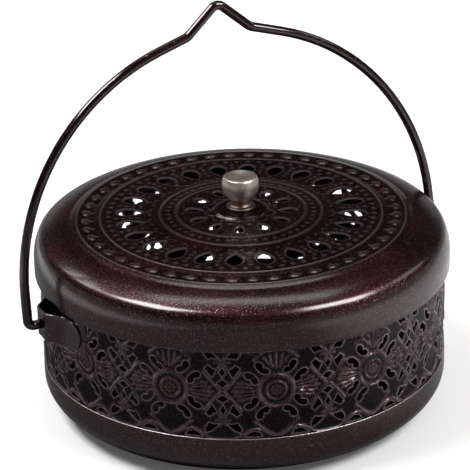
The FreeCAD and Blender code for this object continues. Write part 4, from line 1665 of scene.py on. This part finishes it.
@dataclass
class Bail:
    """The wire handle: two feet in the lugs, two legs, an arch and a pointed crown."""

    wire_radius: float = 1.75
    half_span: float = 84.3
    rise: float = 106.9
    foot_length: float = 6.0
    side_set: float = 1.5
    lean: float = 6.2
    pivot: float = 46.0
    corner_shares: tuple[Flat, ...] = ((-1.0, 0.0), (-0.9993, 0.694), (-0.158, 0.8985), (-0.0107, 1.0),
                                       (0.1366, 0.8985), (0.9424, 0.7025), (0.9767, 0.148), (1.0, 0.071), (1.0, 0.0))
    bends: tuple[float, ...] = (2.2, 84.5, 6.0, 3.2, 6.0, 84.5, 12.0, 12.0, 2.2)
    end_round: float = 0.5
    sides: int = 24

    def line(self) -> list[Vector]:
        """Draw the wire's middle line in place.

        Returns:
            Its points, from one foot to the other.
        """
        toe = self.half_span - self.foot_length
        corners = [Vector((across * self.half_span, 0.0, up * self.rise)) for across, up in self.corner_shares]
        corners = [Vector((-toe, 0.0, 0.0)), *corners, Vector((toe, 0.0, 0.0))]
        lean = Matrix.Rotation(-math.radians(self.lean), 4, "X")
        shift = Vector((-self.side_set, 0.0, self.pivot))
        return [lean @ point + shift for point in rounded_line(corners, self.bends, 3.0)]

    def build(self, material: bpy.types.Material) -> None:
        """Bend the wire."""
        solid = tube(self.line(), self.wire_radius, self.sides, self.end_round)
        dress(solid.as_object("bail_wire", 60.0), material, Slot.PAINT, Body.BAIL, "bail")


@dataclass(frozen=True)
class Lamp:
    """A soft lamp, its direction from the holder counted from straight ahead of the camera to the right."""

    name: str
    azimuth: float
    elevation: float
    distance: float
    size: Flat
    glow: float
    roll: float = 0.0


@dataclass
class Studio:
    """The camera at the photograph's angle, a pale floor and soft lamps.

    The floor's sheens brighten what gloss sees of it: each is given by the side that it lies on, where it
    starts and ends in metres from the middle, and how bright it gets.
    """

    image_width: int = 470
    focal_pixels: float = 2407.13
    sensor: float = 36.0
    camera_turn: float = -24.7
    place: tuple[float, float, float] = (0.0, -818.42, 430.81)
    right: tuple[float, float, float] = (0.9997, -0.0069, -0.0219)
    down: tuple[float, float, float] = (-0.0228, -0.4086, -0.9124)
    ahead: tuple[float, float, float] = (-0.0027, 0.9127, -0.4087)
    floor_colour: Colour = (0.94, 0.94, 0.94)
    sheen_near: float = 0.14
    sheens: tuple[tuple[float, float, float, float], ...] = ((70.0, 0.03, 0.14, 0.6), (-85.0, 0.2, 0.3, 0.75))
    floor_half: float = 3.0
    top_up: tuple[float, float, float, float] = (0.3, 1.2, 0.06, 1.0)
    fill: float = 0.12
    room: tuple[float, float, float, float] = (0.11, 0.28, 0.30, 0.012)
    aim_height: float = 0.05
    lamps: tuple[Lamp, ...] = (
        Lamp("right_lamp", 117.0, 46.0, 1.2, (0.60, 0.48), 14.6, -38.0),
        Lamp("right_tail", 66.0, 36.0, 1.2, (0.5, 0.24), 1.6, -12.0),
        Lamp("left_lamp", -101.0, 60.0, 1.2, (0.60, 0.42), 16.6, 8.0),
        Lamp("left_tail", -58.0, 43.0, 1.2, (0.5, 0.24), 4.6, 16.0),
        Lamp("top_lamp", 0.0, 70.0, 1.3, (0.9, 0.28), 2.4),
    )

    def toward(self, azimuth: float, elevation: float = 0.0) -> Vector:
        """Find a direction seen from the holder.

        Args:
            azimuth: degrees from straight ahead of the camera to the right.
            elevation: degrees over the floor.

        Returns:
            The unit vector.
        """
        turn, rise = math.radians(azimuth), math.radians(elevation)
        way = Vector((math.sin(turn) * math.cos(rise), math.cos(turn) * math.cos(rise), math.sin(rise)))
        way.rotate(Matrix.Rotation(math.radians(self.camera_turn), 3, "Z"))
        return way

    def camera(self) -> None:
        """Set the camera where the photograph was taken."""
        data = bpy.data.cameras.new("photo_view")
        data.sensor_width = self.sensor
        data.lens = self.focal_pixels * self.sensor / self.image_width
        data.clip_end = 20.0
        camera = linked("photo_view", data)
        axes = Matrix((self.right, [-value for value in self.down],
                       [-value for value in self.ahead])).transposed().to_4x4()
        turn = Matrix.Rotation(math.radians(self.camera_turn), 4, "Z")
        camera.matrix_world = turn @ Matrix.Translation(Vector(self.place) * MM) @ axes
        bpy.context.scene.camera = camera

    def floor(self) -> None:
        """Lay the pale floor that keeps the shadow. It glows far away, and only for the camera."""
        half = self.floor_half
        mesh = bpy.data.meshes.new("studio_floor")
        mesh.from_pydata([(-half, -half, 0), (half, -half, 0), (half, half, 0), (-half, half, 0)], [],
                         [(0, 1, 2, 3)])
        floor = linked("studio_floor", mesh)
        material, bench = new_material("studio_floor")
        path = bench.node("ShaderNodeLightPath").outputs
        seen = bench.maths("MAXIMUM", path["Is Camera Ray"], path["Is Transmission Ray"])
        place = bench.place()
        sheens = []
        for azimuth, start, end, sheen in self.sheens:
            reach = bench.vectors("DOT_PRODUCT", {0: place, 1: tuple(self.toward(azimuth))}, 1)
            sheens.append(bench.between(reach, start, end, self.sheen_near, sheen))
        top_up = bench.between(bench.vectors("LENGTH", {0: place}, 1), *self.top_up)
        bench.surface({
            "Base Color": bench.mixed(path["Is Glossy Ray"], opaque(self.floor_colour),
                                      bench.maths("MAXIMUM", *sheens)),
            "Roughness": 0.9, "Specular IOR Level": 0.1, "Emission Color": WHITE,
            "Emission Strength": bench.maths("MULTIPLY", seen, top_up)})
        mesh.materials.append(material)

    def world(self) -> None:
        """Fill the room with even light, and show gloss a pale horizon under a dim ceiling."""
        world = bpy.data.worlds.new("studio")
        world.use_nodes = True
        bench = Bench(world.node_tree)
        path = bench.node("ShaderNodeLightPath").outputs
        direction = bench.node("ShaderNodeTexCoord").outputs["Generated"]
        up = bench.node("ShaderNodeSeparateXYZ", {0: direction}).outputs[2]
        gloss = bench.blended(path["Is Glossy Ray"], self.fill, bench.between(up, *self.room))
        seen = bench.maths("MAXIMUM", path["Is Camera Ray"], path["Is Transmission Ray"])
        back = bench.node("ShaderNodeBackground", {"Color": WHITE, "Strength": bench.blended(seen, gloss, 1.0)})
        bench.node("ShaderNodeOutputWorld", {"Surface": back.outputs[0]})
        bpy.context.scene.world = world

    def hang(self, lamp: Lamp) -> None:
        """Hang one soft lamp round the holder.

        Args:
            lamp: the lamp.
        """
        data = bpy.data.lights.new(lamp.name, "AREA")
        data.shape = "RECTANGLE"
        data.size, data.size_y = lamp.size
        data.energy = lamp.glow * math.pi * lamp.size[0] * lamp.size[1]
        piece = linked(lamp.name, data)
        away = self.toward(lamp.azimuth, lamp.elevation)
        piece.location = Vector((0.0, 0.0, self.aim_height)) + away * lamp.distance
        spin = Matrix.Rotation(math.radians(lamp.roll), 3, "Z")
        piece.rotation_euler = ((-away).to_track_quat("-Z", "Y").to_matrix() @ spin).to_euler()

    def build(self) -> None:
        """Set up the whole studio."""
        self.camera()
        self.floor()
        self.world()
        for lamp in self.lamps:
            self.hang(lamp)
        bpy.context.scene.view_settings.view_transform = "Standard"


def main() -> None:
    """Build the holder piece by piece and set it in the studio."""
    logging.basicConfig(level=logging.INFO, format="%(name)s: %(message)s")
    Studio().build()
    effects = Effects.build()
    paint, wire_paint, bronze, zinc = (finish.material(effects) for finish in (PAINT, WIRE_PAINT, BRONZE, ZINC))
    BasePan().build(paint)
    PiercedBand().build(paint)
    Lug("lug_strap_right", "lug_right", 0.0).build(wire_paint)
    Lug("lug_strap_left", "lug_left", 180.0).build(wire_paint)
    LidShell().build(paint)
    Knob().build(bronze)
    Bail().build(wire_paint)
    for name in ("coil_stand", "knob_washer", "knob_screw"):
        dress_node(name, zinc)


if __name__ == "__main__":
    main()
